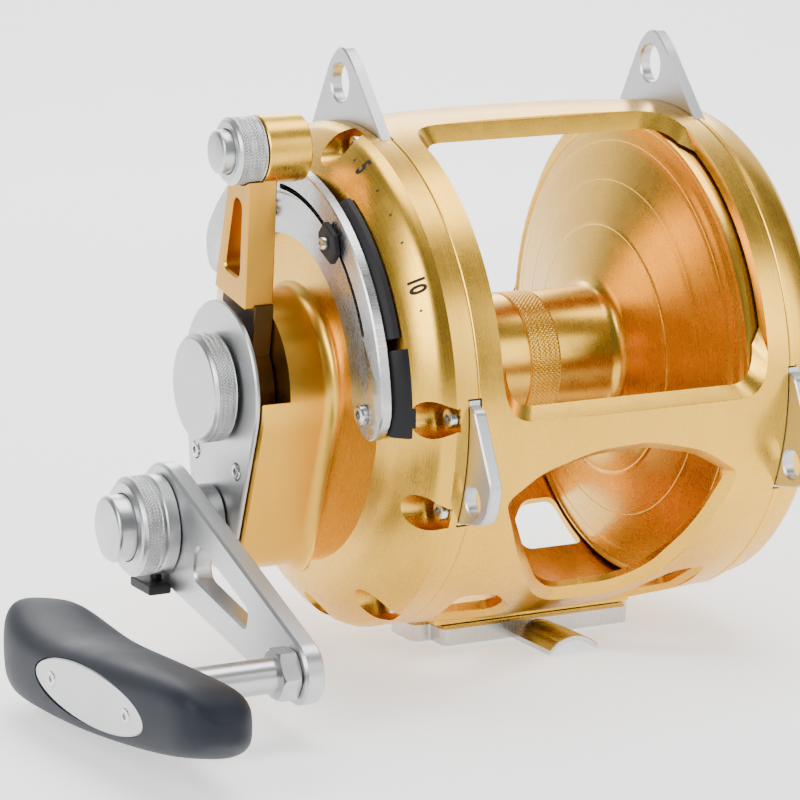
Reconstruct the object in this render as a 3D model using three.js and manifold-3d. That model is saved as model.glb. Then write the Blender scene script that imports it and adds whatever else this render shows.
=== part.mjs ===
// Two-speed lever-drag trolling reel, 130 lb line class.
// Millimetres, +Z up. X runs along the spool axis: the crank side is at -X and the tail side at +X.
// -Y points towards the rod tip. The origin is the centre of the foot's flat underside.

import * as THREE from 'three';
import { mergeVertices } from 'three/addons/utils/BufferGeometryUtils.js';
import Module from 'manifold-3d';

const wasm = await Module();
wasm.setup();

// ---------------------------------------------------------------- driving dimensions

const GAP = 0.3; // air between pieces that touch
const RING_SIDES = 36; // facets round the large turned pieces
const AXIS_HEIGHT = 98; // spool axis above the underside of the foot
const HALF_WIDTH = 61; // spool centre to each seam between frame and side plate
const RIM_R = 89; // frame and side plates at the seams
const CROWN = 2; // extra radius of the barrel at its middle
const BORE_R = 85; // inside of the barrel

const CRANK = { y: 6, z: -47.6 }; // crank shaft, measured from the spool axis
const GRIP = { y: -98, z: -75.5 }; // grip shank, measured from the spool axis
const LEVER_ANGLE = 101.6; // drag lever at rest, degrees from +Y towards +Z

const MODULE = 2; // gear tooth module
const HIGH_GEAR_TEETH = 30;
const HIGH_PINION_TEETH = 18;
const LOW_GEAR_TEETH = 22;
const LOW_PINION_TEETH = 26;

const PLATE_SCREW_R = 84; // pitch radius of the side-plate screws
const PLATE_SCREW_ANGLES = [100, 180, 203, 241, 271, 312, 352, 40];
const TAIL_SCREW_ANGLES = [60, 15, 330, 290, 250];
const SCREW_DEPTH = 7; // seam to the floor of each screw pocket
const POCKET_R = 6.5;

const FLANGE_R = 83.8;
const ARBOR_R = 23.5;

// ---------------------------------------------------------------- materials

function finish(color, roughness, metalness) {
  return () => new THREE.MeshStandardMaterial({ color, roughness, metalness });
}

const gold = finish(0xd9a550, 0.32, 0.9);
const silver = finish(0xc4c6c6, 0.38, 0.85);
const polished = finish(0xa9a6a4, 0.18, 0.95);
const steel = finish(0xb9bbbc, 0.25, 0.95);
const blackPlastic = finish(0x232427, 0.55, 0.0);
const rubber = finish(0x3a3f46, 0.8, 0.0);
const carbon = finish(0x2b2b2d, 0.7, 0.1);

// ---------------------------------------------------------------- geometry helpers

const radians = THREE.MathUtils.degToRad;

// Distance outwards from the crank-side seam, as an X station.
const out = (distance) => -HALF_WIDTH - distance;

// Distance outwards from the tail-side seam, as an X station.
const tail = (distance) => HALF_WIDTH + distance;

// Point in the YZ plane at a radius and an angle from +Y towards +Z.
function polar(radius, degrees, centre = { y: 0, z: 0 }) {
  return [
    centre.y + radius * Math.cos(radians(degrees)),
    centre.z + radius * Math.sin(radians(degrees)),
  ];
}

function signedVolume(vertices, triangles) {
  const a = new THREE.Vector3();
  const b = new THREE.Vector3();
  const c = new THREE.Vector3();
  let volume = 0;
  for (let i = 0; i < triangles.length; i += 3) {
    a.fromArray(vertices, triangles[i] * 3);
    b.fromArray(vertices, triangles[i + 1] * 3);
    c.fromArray(vertices, triangles[i + 2] * 3);
    volume += a.dot(b.cross(c)) / 6;
  }
  return volume;
}

// Closed three.js geometry to manifold solid, with its faces turned outwards.
function solid(geometry) {
  const bare = geometry.index ? geometry.toNonIndexed() : geometry.clone();
  bare.deleteAttribute('normal');
  bare.deleteAttribute('uv');
  const merged = mergeVertices(bare, 1e-4);
  const vertProperties = new Float32Array(merged.attributes.position.array);
  const kept = [];
  const index = merged.index.array;
  for (let i = 0; i < index.length; i += 3) {
    const [a, b, c] = [index[i], index[i + 1], index[i + 2]];
    if (a !== b && b !== c && c !== a) kept.push(a, b, c);
  }
  if (signedVolume(vertProperties, kept) < 0) kept.reverse();
  const triVerts = new Uint32Array(kept);
  return new wasm.Manifold(new wasm.Mesh({ numProp: 3, vertProperties, triVerts }));
}

function toGeometry(manifold) {
  const mesh = manifold.getMesh();
  const geometry = new THREE.BufferGeometry();
  geometry.setAttribute('position', new THREE.BufferAttribute(mesh.vertProperties, 3));
  geometry.setIndex(new THREE.BufferAttribute(mesh.triVerts, 1));
  geometry.computeVertexNormals();
  return geometry;
}

function union(...solids) {
  return solids.reduce((sum, piece) => sum.add(piece));
}

function cut(base, ...tools) {
  return tools.reduce((rest, tool) => rest.subtract(tool), base);
}

// Solid of revolution about a line parallel to X, from a closed profile of [x, radius] points.
function turned(profile, segments = 24, centre = { y: 0, z: 0 }) {
  const points = profile.map(([x, radius]) => new THREE.Vector2(radius, x));
  if (profile[0][1] > 0) points.push(points[0].clone());
  const geometry = new THREE.LatheGeometry(points, segments);
  geometry.rotateZ(-Math.PI / 2);
  geometry.translate(0, centre.y, centre.z);
  return solid(geometry);
}

// Disc or rod along X.
function rod(x0, x1, radius, centre, segments = 20) {
  return turned([[x0, 0], [x0, radius], [x1, radius], [x1, 0]], segments, centre);
}

// Rod along X with a chamfer on each end.
function chamferedRod(x0, x1, radius, chamfer, centre, segments = 24) {
  const side = Math.sign(x1 - x0) * chamfer;
  const profile = [
    [x0, 0],
    [x0, radius - chamfer],
    [x0 + side, radius],
    [x1 - side, radius],
    [x1, radius - chamfer],
    [x1, 0],
  ];
  return turned(profile, segments, centre);
}

// Flat outline in the YZ plane, pulled along X.
function slab(shape, x0, x1, curveSegments = 5) {
  const depth = Math.abs(x1 - x0);
  const geometry = new THREE.ExtrudeGeometry(shape, { depth, bevelEnabled: false, curveSegments });
  const axes = new THREE.Matrix4().makeBasis(
    new THREE.Vector3(0, 1, 0),
    new THREE.Vector3(0, 0, 1),
    new THREE.Vector3(1, 0, 0),
  );
  geometry.applyMatrix4(axes);
  geometry.translate(Math.min(x0, x1), 0, 0);
  return solid(geometry);
}

// Flat outline in the XY plane, pulled along Z.
function plate(shape, z0, z1, curveSegments = 5) {
  const depth = z1 - z0;
  const geometry = new THREE.ExtrudeGeometry(shape, { depth, bevelEnabled: false, curveSegments });
  geometry.translate(0, 0, z0);
  return solid(geometry);
}

function box(x0, x1, y0, y1, z0, z1) {
  const geometry = new THREE.BoxGeometry(Math.abs(x1 - x0), y1 - y0, z1 - z0);
  geometry.translate((x0 + x1) / 2, (y0 + y1) / 2, (z0 + z1) / 2);
  return solid(geometry);
}

// Outline through [a, b, cornerRadius] points, each corner rounded.
function roundedShape(corners) {
  const shape = new THREE.Shape();
  const count = corners.length;
  corners.forEach(([a, b, radius], i) => {
    const here = new THREE.Vector2(a, b);
    const before = new THREE.Vector2(...corners[(i + count - 1) % count]);
    const after = new THREE.Vector2(...corners[(i + 1) % count]);
    const start = here.clone().add(before.sub(here).setLength(radius));
    const end = here.clone().add(after.sub(here).setLength(radius));
    if (i === 0) shape.moveTo(start.x, start.y);
    else shape.lineTo(start.x, start.y);
    if (radius > 0) shape.quadraticCurveTo(here.x, here.y, end.x, end.y);
  });
  shape.closePath();
  return shape;
}

// Outline of two circles joined by their outer tangents.
function keyhole(c1, r1, c2, r2) {
  const direction = Math.atan2(c2.z - c1.z, c2.y - c1.y);
  const distance = Math.hypot(c2.y - c1.y, c2.z - c1.z);
  const spread = Math.acos((r1 - r2) / distance);
  const shape = new THREE.Shape();
  shape.absarc(c1.y, c1.z, r1, direction + spread, direction - spread + 2 * Math.PI, false);
  shape.absarc(c2.y, c2.z, r2, direction - spread, direction + spread, false);
  shape.closePath();
  return shape;
}

// Ring sector in the YZ plane with rounded ends.
function arcBand(rInner, rOuter, fromDegrees, toDegrees) {
  const from = radians(fromDegrees);
  const to = radians(toDegrees);
  const middle = (rInner + rOuter) / 2;
  const end = (rOuter - rInner) / 2;
  const shape = new THREE.Shape();
  shape.absarc(0, 0, rOuter, from, to, false);
  shape.absarc(middle * Math.cos(to), middle * Math.sin(to), end, to, to + Math.PI, false);
  shape.absarc(0, 0, rInner, to, from, true);
  shape.absarc(middle * Math.cos(from), middle * Math.sin(from), end, from + Math.PI, from, false);
  shape.closePath();
  return shape;
}

// Closed skin over rings of points, with the same flat triangulation at both ends.
function loft(rings, cap) {
  const count = rings[0].length;
  const positions = rings.flat(2);
  const index = [];
  for (let level = 0; level < rings.length - 1; level += 1) {
    for (let i = 0; i < count; i += 1) {
      const a = level * count + i;
      const b = level * count + ((i + 1) % count);
      index.push(a, b, b + count, a, b + count, a + count);
    }
  }
  const last = (rings.length - 1) * count;
  for (const [a, b, c] of cap) {
    index.push(a, c, b);
    index.push(last + a, last + b, last + c);
  }
  const geometry = new THREE.BufferGeometry();
  geometry.setAttribute('position', new THREE.Float32BufferAttribute(positions, 3));
  geometry.setIndex(index);
  return solid(geometry);
}

// Tool that cuts a window through the barrel. The outline is in the unrolled barrel: x against
// degrees. Its walls are radial inside, then lean outwards by `bevel` mm up to the surface.
function windowTool(outline, bevel, surfaceR) {
  const inner = outline.getPoints(2);
  const centre = new THREE.Vector2();
  inner.forEach((point) => centre.add(point));
  centre.divideScalar(inner.length);
  const degreesPerMm = 180 / (Math.PI * surfaceR);
  const grown = inner.map((point) => {
    const away = point.clone().sub(centre);
    const step = new THREE.Vector2(away.x, away.y / degreesPerMm).setLength(bevel);
    return new THREE.Vector2(point.x + step.x, point.y + step.y * degreesPerMm);
  });
  const place = (point, radius) => {
    const [y, z] = polar(radius, point.y);
    return [point.x, y, z];
  };
  const rings = [
    inner.map((point) => place(point, BORE_R - 12)),
    inner.map((point) => place(point, surfaceR - bevel)),
    grown.map((point) => place(point, surfaceR + CROWN)),
    grown.map((point) => place(point, surfaceR * 2)),
  ];
  return loft(rings, THREE.ShapeUtils.triangulateShape(inner, []));
}

const reel = new THREE.Group();
reel.position.z = AXIS_HEIGHT;

function add(name, manifold, material) {
  const mesh = new THREE.Mesh(toGeometry(manifold), material());
  mesh.name = name;
  reel.add(mesh);
  return mesh;
}

// Sector of a ring in the YZ plane, with square ends.
function sector(rInner, rOuter, fromDegrees, toDegrees) {
  const shape = new THREE.Shape();
  shape.absarc(0, 0, rOuter, radians(fromDegrees), radians(toDegrees), false);
  shape.absarc(0, 0, rInner, radians(toDegrees), radians(fromDegrees), true);
  shape.closePath();
  return shape;
}

function circleShape(centre, radius) {
  const shape = new THREE.Shape();
  shape.absarc(centre.y, centre.z, radius, 0, 2 * Math.PI, false);
  shape.closePath();
  return shape;
}

// ---------------------------------------------------------------- frame

const FLAT_Z = -90.7; // underside of the frame where the foot is screwed on
const FOOT_SCREW_X = [-30, 30];

function windowShape(points, radius) {
  return roundedShape(points.map(([x, degrees]) => [x, degrees, radius]));
}

function mirrored(points) {
  return points.map(([x, degrees]) => [x, 540 - degrees - 360]).reverse();
}

const UPPER_WINDOW = [[-47.5, 104.5], [47.5, 104.5], [47.5, 178.5], [-47.5, 178.5]];
const LENS_WINDOW = [
  [-45, 201], [-34, 195], [-15, 191.5], [4, 191], [25, 194], [40, 200],
  [33, 214], [23, 231], [13, 237], [-10, 237], [-20, 231], [-34, 216],
];
const CORNER_WINDOW = [[-50, 232], [-37, 232], [-26, 241], [-26, 250], [-50, 250]];

function buildFrame() {
  const barrel = turned([
    [-61, 80.3], [-61, 89], [-41, 90.4], [-20, 91], [20, 91], [41, 90.4], [61, 89],
    [61, BORE_R], [-55.2, BORE_R], [-55.2, 80.3],
  ], RING_SIDES);
  const pad = box(-40, 40, -17, 17, FLAT_Z, -86);
  const body = union(barrel, cut(pad, rod(-50, 50, BORE_R, undefined, RING_SIDES)));
  const windows = [
    windowTool(windowShape(UPPER_WINDOW, 9), 6, 90),
    windowTool(windowShape(mirrored(UPPER_WINDOW), 9), 6, 90),
    windowTool(windowShape(LENS_WINDOW, 3), 3, 90),
    windowTool(windowShape(mirrored(LENS_WINDOW), 3), 3, 90),
    windowTool(windowShape(CORNER_WINDOW, 2), 2, 90),
    windowTool(windowShape(mirrored(CORNER_WINDOW), 2), 2, 90),
  ];
  const flat = box(-70, 70, -60, 60, -100, FLAT_Z);
  const screwHoles = PLATE_SCREW_ANGLES.map((degrees) => {
    const [y, z] = polar(PLATE_SCREW_R, degrees);
    return rod(-62, -56.4, 1.8, { y, z }, 8);
  });
  const tailHoles = TAIL_SCREW_ANGLES.map((degrees) => {
    const [y, z] = polar(TAIL_SCREW_R, degrees);
    return rod(54, 62, 1.3, { y, z }, 8);
  });
  const footHoles = FOOT_SCREW_X.map((x) => verticalRod(x, 0, FLAT_Z - 1, -86.5, 2.3));
  const lugSeats = LUG_SPANS.map(([from, to]) => (
    union(
      slab(sector(LUG_BASE_R - GAP, 100, from, to), out(-LUG_INSET - GAP), out(5)),
      slab(sector(LUG_BASE_R - GAP, 100, from, to), tail(-LUG_INSET - GAP), tail(5)),
    )
  ));
  return cut(body, ...windows, flat, ...screwHoles, ...tailHoles, ...footHoles, ...lugSeats);
}

function verticalRod(x, y, z0, z1, radius, segments = 10) {
  const geometry = new THREE.CylinderGeometry(radius, radius, z1 - z0, segments);
  geometry.rotateX(Math.PI / 2);
  geometry.translate(x, y, (z0 + z1) / 2);
  return solid(geometry);
}

// ---------------------------------------------------------------- harness lugs

const LUG_BASE_R = 82.5;
const LUG_SPANS = [[69.4, 106.4], [175.6, 205.6]]; // degrees taken up by each lug's base
const LUG_THICKNESS = 4.5;
const LUG_INSET = 0.6; // how far each lug reaches over the seam into the frame
const TAIL_SCREW_R = 87.1;

function lug(base, ear, hole, holeR, x0) {
  const x1 = x0 + LUG_THICKNESS;
  const foot = slab(sector(LUG_BASE_R, 89, base[0] + 0.4, base[1] - 0.4), x0, x1);
  const plateShape = slab(roundedShape(ear), x0, x1);
  const screwHoles = PLATE_SCREW_ANGLES.map((degrees) => {
    const [y, z] = polar(PLATE_SCREW_R, degrees);
    return rod(x0 - 1, x1 + 1, 1.8, { y, z }, 8);
  });
  const body = cut(union(foot, plateShape), rod(x0 - 1, x1 + 1, holeR, hole, 20));
  return x0 < 0 ? cut(body, ...screwHoles) : body;
}

const TOP_EAR = [[-24.3, 85.3, 0], [31.2, 82.9, 0], [14.5, 110, 4.5], [6.2, 115.6, 4.5], [-2, 110, 4.5]];
const TOP_HOLE = { y: 7.2, z: 101.8 };
const FRONT_EAR = [
  [-86.5, 5.5, 0], [-92.5, 3, 1.5], [-104.5, -21, 3], [-100, -34.5, 7], [-79.5, -37.3, 0],
];
const FRONT_HOLE = { y: -91.5, z: -27.5 };

function buildLugs() {
  const stations = { crank: out(LUG_THICKNESS - LUG_INSET), tail: tail(-LUG_INSET) };
  for (const [side, x0] of Object.entries(stations)) {
    add(`top_lug_${side}_side`, lug(LUG_SPANS[0], TOP_EAR, TOP_HOLE, 6.75, x0), silver);
    add(`front_lug_${side}_side`, lug(LUG_SPANS[1], FRONT_EAR, FRONT_HOLE, 5, x0), silver);
  }
}

// ---------------------------------------------------------------- crank-side plate

const BOSS_R = 31.2;
const BOSS_TIP_R = 19.5;
const BOSS_FACE = 52;
const BOSS_FOOT = 2; // how far the foot of the boss stands out round it
const PLATE_FACE = 25; // seam to the flat face of the crank-side plate
const LEVER_MIN = 32; // lever angle with the drag free
const LEVER_MAX = 156; // lever angle at full drag
const LEVER_SLOT_HALF = 13.8; // half width of the slot's ends
const LEVER_SLOT_FLOOR = 37.8;
const SPINDLE_R = 5;
const SHAFT_R = 8;
const PAWL_PIVOT = { y: CRANK.y - 23.4, z: CRANK.z + 12 };
const PAWL_REACH = 14.8; // room for the swinging pawl round its pivot

function screwPocket(degrees) {
  const [y, z] = polar(PLATE_SCREW_R, degrees);
  const outward = polar(PLATE_SCREW_R + 12, degrees);
  const well = rod(out(SCREW_DEPTH), out(30), POCKET_R, { y, z }, 12);
  const mouth = rod(out(SCREW_DEPTH + 3), out(30), POCKET_R + 2, { y: outward[0], z: outward[1] }, 12);
  return union(well, mouth);
}

// Space swept by the root of the lever. Each end is parallel to the lever's side there.
function leverSlotShape() {
  const reach = 48;
  const shape = new THREE.Shape();
  const [firstY, firstZ] = polar(LEVER_SLOT_HALF, LEVER_MIN - 90);
  const [lastY, lastZ] = polar(LEVER_SLOT_HALF, LEVER_MAX + 90);
  const [armY, armZ] = polar(reach, LEVER_MIN);
  const [endY, endZ] = polar(reach, LEVER_MAX);
  shape.moveTo(firstY, firstZ);
  shape.lineTo(firstY + armY, firstZ + armZ);
  for (let degrees = LEVER_MIN; degrees <= LEVER_MAX; degrees += 31) {
    shape.lineTo(...polar(reach + 4, degrees));
  }
  shape.lineTo(lastY + endY, lastZ + endZ);
  shape.lineTo(lastY, lastZ);
  shape.closePath();
  return shape;
}

// Outer surface from the straight rim to the flat face.
const DOME = [
  [out(12), 87.5], [out(15), 84.8], [out(18), 81.3], [out(20.5), 77.5], [out(23), 71.5],
  [out(PLATE_FACE), 63.5],
];

function buildCrankSidePlate() {
  const dome = turned([
    [out(0), 80.5], [out(0), 89], [out(8.5), 89], ...DOME, [out(PLATE_FACE), 6], [out(16), 6],
    [out(16), 40], [out(13.7), 75], [out(5.5), 75], [out(5.5), 80.5],
  ], RING_SIDES);
  const foot = slab(
    keyhole({ y: 0, z: 0 }, BOSS_R + BOSS_FOOT, CRANK, BOSS_TIP_R + BOSS_FOOT),
    out(PLATE_FACE - 2), out(PLATE_FACE + 1.6), 12,
  );
  const boss = slab(keyhole({ y: 0, z: 0 }, BOSS_R, CRANK, BOSS_TIP_R), out(24), out(BOSS_FACE), 12);
  const tools = [
    rod(out(0), out(LEVER_SLOT_FLOOR + 0.1), 15, undefined, 24),
    rod(out(LEVER_SLOT_FLOOR), out(60), 20.6, undefined, 28),
    slab(leverSlotShape(), out(LEVER_SLOT_FLOOR), out(60)),
    rod(out(0), out(60), SHAFT_R + GAP, CRANK, 20),
    rod(out(0), out(6.2), 32.3, CRANK, 28),
    rod(out(0), out(18.6), 25.2, CRANK, 24),
    rod(out(0), out(18.6), PAWL_REACH, PAWL_PIVOT, 24),
    ...PLATE_SCREW_ANGLES.map(screwPocket),
    ...PLATE_SCREW_ANGLES.map((degrees) => {
      const [y, z] = polar(PLATE_SCREW_R, degrees);
      return rod(out(-1), out(9), 1.8, { y, z }, 8);
    }),
    ...QUADRANT_SCREWS.map((centre) => rod(out(20), out(34), 2.3, centre, 8)),
    ...COVER_SCREWS.map((centre) => rod(out(44), out(56), 1.8, centre, 8)),
    ...LUG_SPANS.map(([from, to]) => (
      slab(
        sector(LUG_BASE_R - GAP, 100, from, to),
        out(-1), out(LUG_THICKNESS - LUG_INSET + GAP),
      )
    )),
    rod(out(18), out(22), 2.3, PAWL_PIVOT, 8),
  ];
  return cut(union(dome, foot, boss), ...tools);
}

// ---------------------------------------------------------------- gear cover

const COVER_THICKNESS = 1.8;
const COVER_FACE = BOSS_FACE + GAP + COVER_THICKNESS;
const COVER_SCREWS = [{ y: 20.3, z: -26.2 }, { y: -13.3, z: -27.6 }];

function buildCover() {
  const back = out(BOSS_FACE);
  const front = out(BOSS_FACE + GAP + COVER_THICKNESS + 1);
  const shape = keyhole({ y: 0, z: 0 }, BOSS_R - 1.2, CRANK, BOSS_TIP_R - 1.2);
  const body = slab(shape, out(BOSS_FACE + GAP), out(COVER_FACE), 12);
  const countersinks = COVER_SCREWS.flatMap((centre) => [
    rod(back, front, 1.8, centre, 8),
    rod(out(COVER_FACE - 1), front, 3.3, centre, 14),
  ]);
  return cut(
    body,
    rod(back, front, 7.8, undefined, 20),
    rod(back, front, SHAFT_R + GAP, CRANK, 20),
    ...countersinks,
  );
}

// Socket-head screw along X, from the face of its head to the tip of its shank.
function capScrew(headX, tipX, headR, headLength, shankR, centre, segments = 10) {
  const way = Math.sign(tipX - headX);
  const underHead = headX + way * headLength;
  const body = turned([
    [headX, 0], [headX, headR], [underHead, headR],
    [underHead, shankR], [tipX, shankR], [tipX, 0],
  ], segments, centre);
  const socket = rod(headX - way, headX + way * headLength * 0.6, headR * 0.45, centre, 6);
  return cut(body, socket);
}

// ---------------------------------------------------------------- drag quadrant

const QUADRANT_SCREWS = [
  { y: polar(61, 181)[0], z: polar(61, 181)[1] },
  { y: polar(60, 80)[0], z: polar(60, 80)[1] },
];
const QUADRANT_BACK = 26.2;
const QUADRANT_FACE = 30.2;
const DISH_FLOOR = 28.7;
const STOP_ANGLE = 127; // strike stop at rest
const STOP_R = 68.2;

function buildQuadrant() {
  const back = out(QUADRANT_BACK);
  const face = out(QUADRANT_FACE);
  const through = [out(QUADRANT_BACK - 1), out(QUADRANT_FACE + 1)];
  const body = slab(arcBand(51.5, 77, 38, 177), back, face, 9);
  const lowerEnd = slab(roundedShape([
    [-52, 8, 2], [-76.5, 8, 2], [-73.5, -6, 5], [-62, -9, 5], [-52, -3, 5],
  ]), back, face);
  const dish = turned([
    [out(DISH_FLOOR), 40], [through[1], 40], [through[1], 66.8], [out(30), 66.8],
    [out(DISH_FLOOR), 65.4],
  ], RING_SIDES);
  return cut(
    union(body, lowerEnd),
    dish,
    slab(arcBand(67.2, 69.2, 90, 157), ...through, 7),
    ...QUADRANT_SCREWS.map((centre) => rod(...through, 2.3, centre, 8)),
  );
}

function buildBacking() {
  const back = out(PLATE_FACE + GAP);
  const front = out(QUADRANT_BACK - GAP);
  const band = slab(sector(64, 75, 44, 162), back, front, 10);
  const bumper = slab(sector(62.5, 90, 158, 186), out(30), out(15), 4).intersect(turned([
    [front, 0], [front, 76], [out(20), 80.8], [out(16), 80.8], [out(16), 0],
  ], RING_SIDES));
  const strip = slab(sector(70, 90, 118, 160), out(30), out(20), 5).intersect(turned([
    [front, 0], [front, 75.6], [out(23.4), 77.4], [out(22), 77.4], [out(22), 0],
  ], RING_SIDES));
  const plateSkin = DOME.map(([x, radius]) => [x - GAP, radius + GAP]);
  return cut(
    union(band, bumper, strip),
    turned([[out(5), 0], [out(5), 89.3], ...plateSkin, [out(PLATE_FACE + GAP), 0]], RING_SIDES),
    rod(out(15), out(30), 2.6, QUADRANT_SCREWS[0], 12),
  );
}

function buildStrikeStop() {
  const [y, z] = polar(STOP_R, STOP_ANGLE);
  const centre = { y, z };
  const corners = [[-6, -2.5], [-1.5, -7], [4.5, -6], [5.5, 2], [1.5, 7], [-4, 6.5]];
  const shape = roundedShape(corners.map(([outward, around]) => {
    const [py, pz] = polar(STOP_R + outward, STOP_ANGLE);
    const [sy, sz] = polar(around, STOP_ANGLE + 90);
    return [py + sy, pz + sz, 1];
  }));
  const block = slab(shape, out(30.5), out(33.1));
  const key = rod(out(27), out(30.6), 0.9, centre, 8);
  const stop = union(cut(block, rod(out(31.6), out(34), 1.1, centre, 8)), key);
  const screw = turned([
    [out(35), 0], [out(35), 1.4], [out(34.4), 2.2], [out(33.4), 2.2],
    [out(33.4), 0.8], [out(31.9), 0.8], [out(31.9), 0],
  ], 20, centre);
  const slot = box(out(36), out(34.5), y - 4, y + 4, z - 0.35, z + 0.35);
  add('strike_stop', stop, blackPlastic);
  add('strike_stop_screw', cut(screw, slot), steel);
}

// ---------------------------------------------------------------- tail-side plate

const CLICK = { y: 0, z: 31 };

function buildTailPlate() {
  const shell = turned([
    [tail(0), 80], [tail(0), 89], [tail(2), 89], [tail(2.6), 86.3], [tail(12), 86.3],
    [tail(15.5), 83], [tail(18.5), 74], [tail(20), 62], [tail(20), 40], [tail(23), 36],
    [tail(24), 16], [tail(24), 0], [tail(19), 0], [tail(19), 5.4], [tail(8), 5.4],
    [tail(8), 12], [tail(15), 12], [tail(15), 60], [tail(13), 72], [tail(9), 80],
  ], RING_SIDES);
  const seats = LUG_SPANS.map(([from, to]) => (
    slab(
      sector(LUG_BASE_R - GAP, 100, from, to),
      tail(-1), tail(LUG_THICKNESS - LUG_INSET + GAP),
    )
  ));
  const screwHoles = TAIL_SCREW_ANGLES.flatMap((degrees) => {
    const [y, z] = polar(TAIL_SCREW_R, degrees);
    return [rod(tail(-1), tail(3), 1.3, { y, z }, 8), rod(tail(2), tail(13), 2.6, { y, z }, 10)];
  });
  const slot = roundedShape([[-2.6, 28.4, 2], [2.6, 28.4, 2], [2.6, 38.8, 2], [-2.6, 38.8, 2]]);
  return cut(shell, ...seats, ...screwHoles, slab(slot, tail(10), tail(30)));
}

function buildClickKnob() {
  const knob = chamferedRod(tail(24.4), tail(29), 6.5, 0.8, CLICK, 20);
  const stem = rod(tail(14), tail(25), 2.2, CLICK, 8);
  const tongue = slab(roundedShape([
    [-2.4, 26.7, 0], [0, 24.9, 0], [2.4, 26.7, 0], [2.4, 34, 1], [-2.4, 34, 1],
  ]), tail(-8), tail(-5));
  const post = rod(tail(-6), tail(15), 1.8, CLICK, 8);
  return union(knob, stem, post, tongue);
}

// ---------------------------------------------------------------- spool and drive

// Toothed wheel with straight-flanked teeth.
function gear(teeth, x0, x1, centre, phase, bore) {
  const pitch = (MODULE * teeth) / 2;
  const tip = pitch + MODULE * 0.9;
  const root = pitch - MODULE * 1.1;
  const step = (2 * Math.PI) / teeth;
  const shape = new THREE.Shape();
  for (let i = 0; i < teeth; i += 1) {
    const middle = phase + i * step;
    const flanks = [[-0.3, root], [-0.12, tip], [0.12, tip], [0.3, root]];
    flanks.forEach(([turn, radius], j) => {
      const angle = middle + turn * step;
      const point = [centre.y + radius * Math.cos(angle), centre.z + radius * Math.sin(angle)];
      if (i === 0 && j === 0) shape.moveTo(...point);
      else shape.lineTo(...point);
    });
  }
  shape.closePath();
  return cut(slab(shape, x0, x1), rod(Math.min(x0, x1) - 5, Math.max(x0, x1) + 5, bore, centre));
}

// Saw-toothed wheel.
function ratchet(teeth, rRoot, rTip, x0, x1, centre, bore) {
  const shape = new THREE.Shape();
  for (let i = 0; i < teeth; i += 1) {
    const from = radians(90) + (2 * Math.PI * i) / teeth;
    const to = from + (2 * Math.PI * 0.92) / teeth;
    const low = [centre.y + rRoot * Math.cos(from), centre.z + rRoot * Math.sin(from)];
    const high = [centre.y + rTip * Math.cos(to), centre.z + rTip * Math.sin(to)];
    if (i === 0) shape.moveTo(...low);
    else shape.lineTo(...low);
    shape.lineTo(...high);
  }
  shape.closePath();
  return cut(slab(shape, x0, x1), rod(Math.min(x0, x1) - 5, Math.max(x0, x1) + 5, bore, centre));
}

// Station along X measured from the crank-side seam towards the tail.
const inside = (distance) => -HALF_WIDTH + distance;

const NEAR_FLANGE = 6.5;
const FAR_FLANGE = 109;
const SPOOL_BORE_R = SPINDLE_R + GAP;
const BEARING_SEAT_R = 11;

function buildSpool() {
  return turned([
    [inside(NEAR_FLANGE), 80], [inside(NEAR_FLANGE), FLANGE_R], [inside(10), FLANGE_R],
    [inside(11.2), 82], [inside(13), 80], [inside(29), 28], [inside(33), ARBOR_R],
    [inside(55.8), ARBOR_R], [inside(55.8), ARBOR_R + 0.4], [inside(68.1), ARBOR_R + 0.4],
    [inside(68.1), ARBOR_R], [inside(88), ARBOR_R], [inside(92), 28], [inside(107.8), 80],
    [inside(FAR_FLANGE), FLANGE_R], [inside(114), FLANGE_R], [inside(114), 80.5],
    [inside(111), 79], [inside(97), 30], [inside(97), 15], [inside(118), 15],
    [inside(118), BEARING_SEAT_R], [inside(112.4), BEARING_SEAT_R], [inside(112.4), SPOOL_BORE_R],
    [inside(14), SPOOL_BORE_R], [inside(14), BEARING_SEAT_R], [inside(8.5), BEARING_SEAT_R],
    [inside(8.5), 78],
  ], RING_SIDES);
}

function bearing(x0, x1, inner, outer) {
  return turned([[x0, inner], [x0, outer], [x1, outer], [x1, inner]], 20);
}

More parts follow.
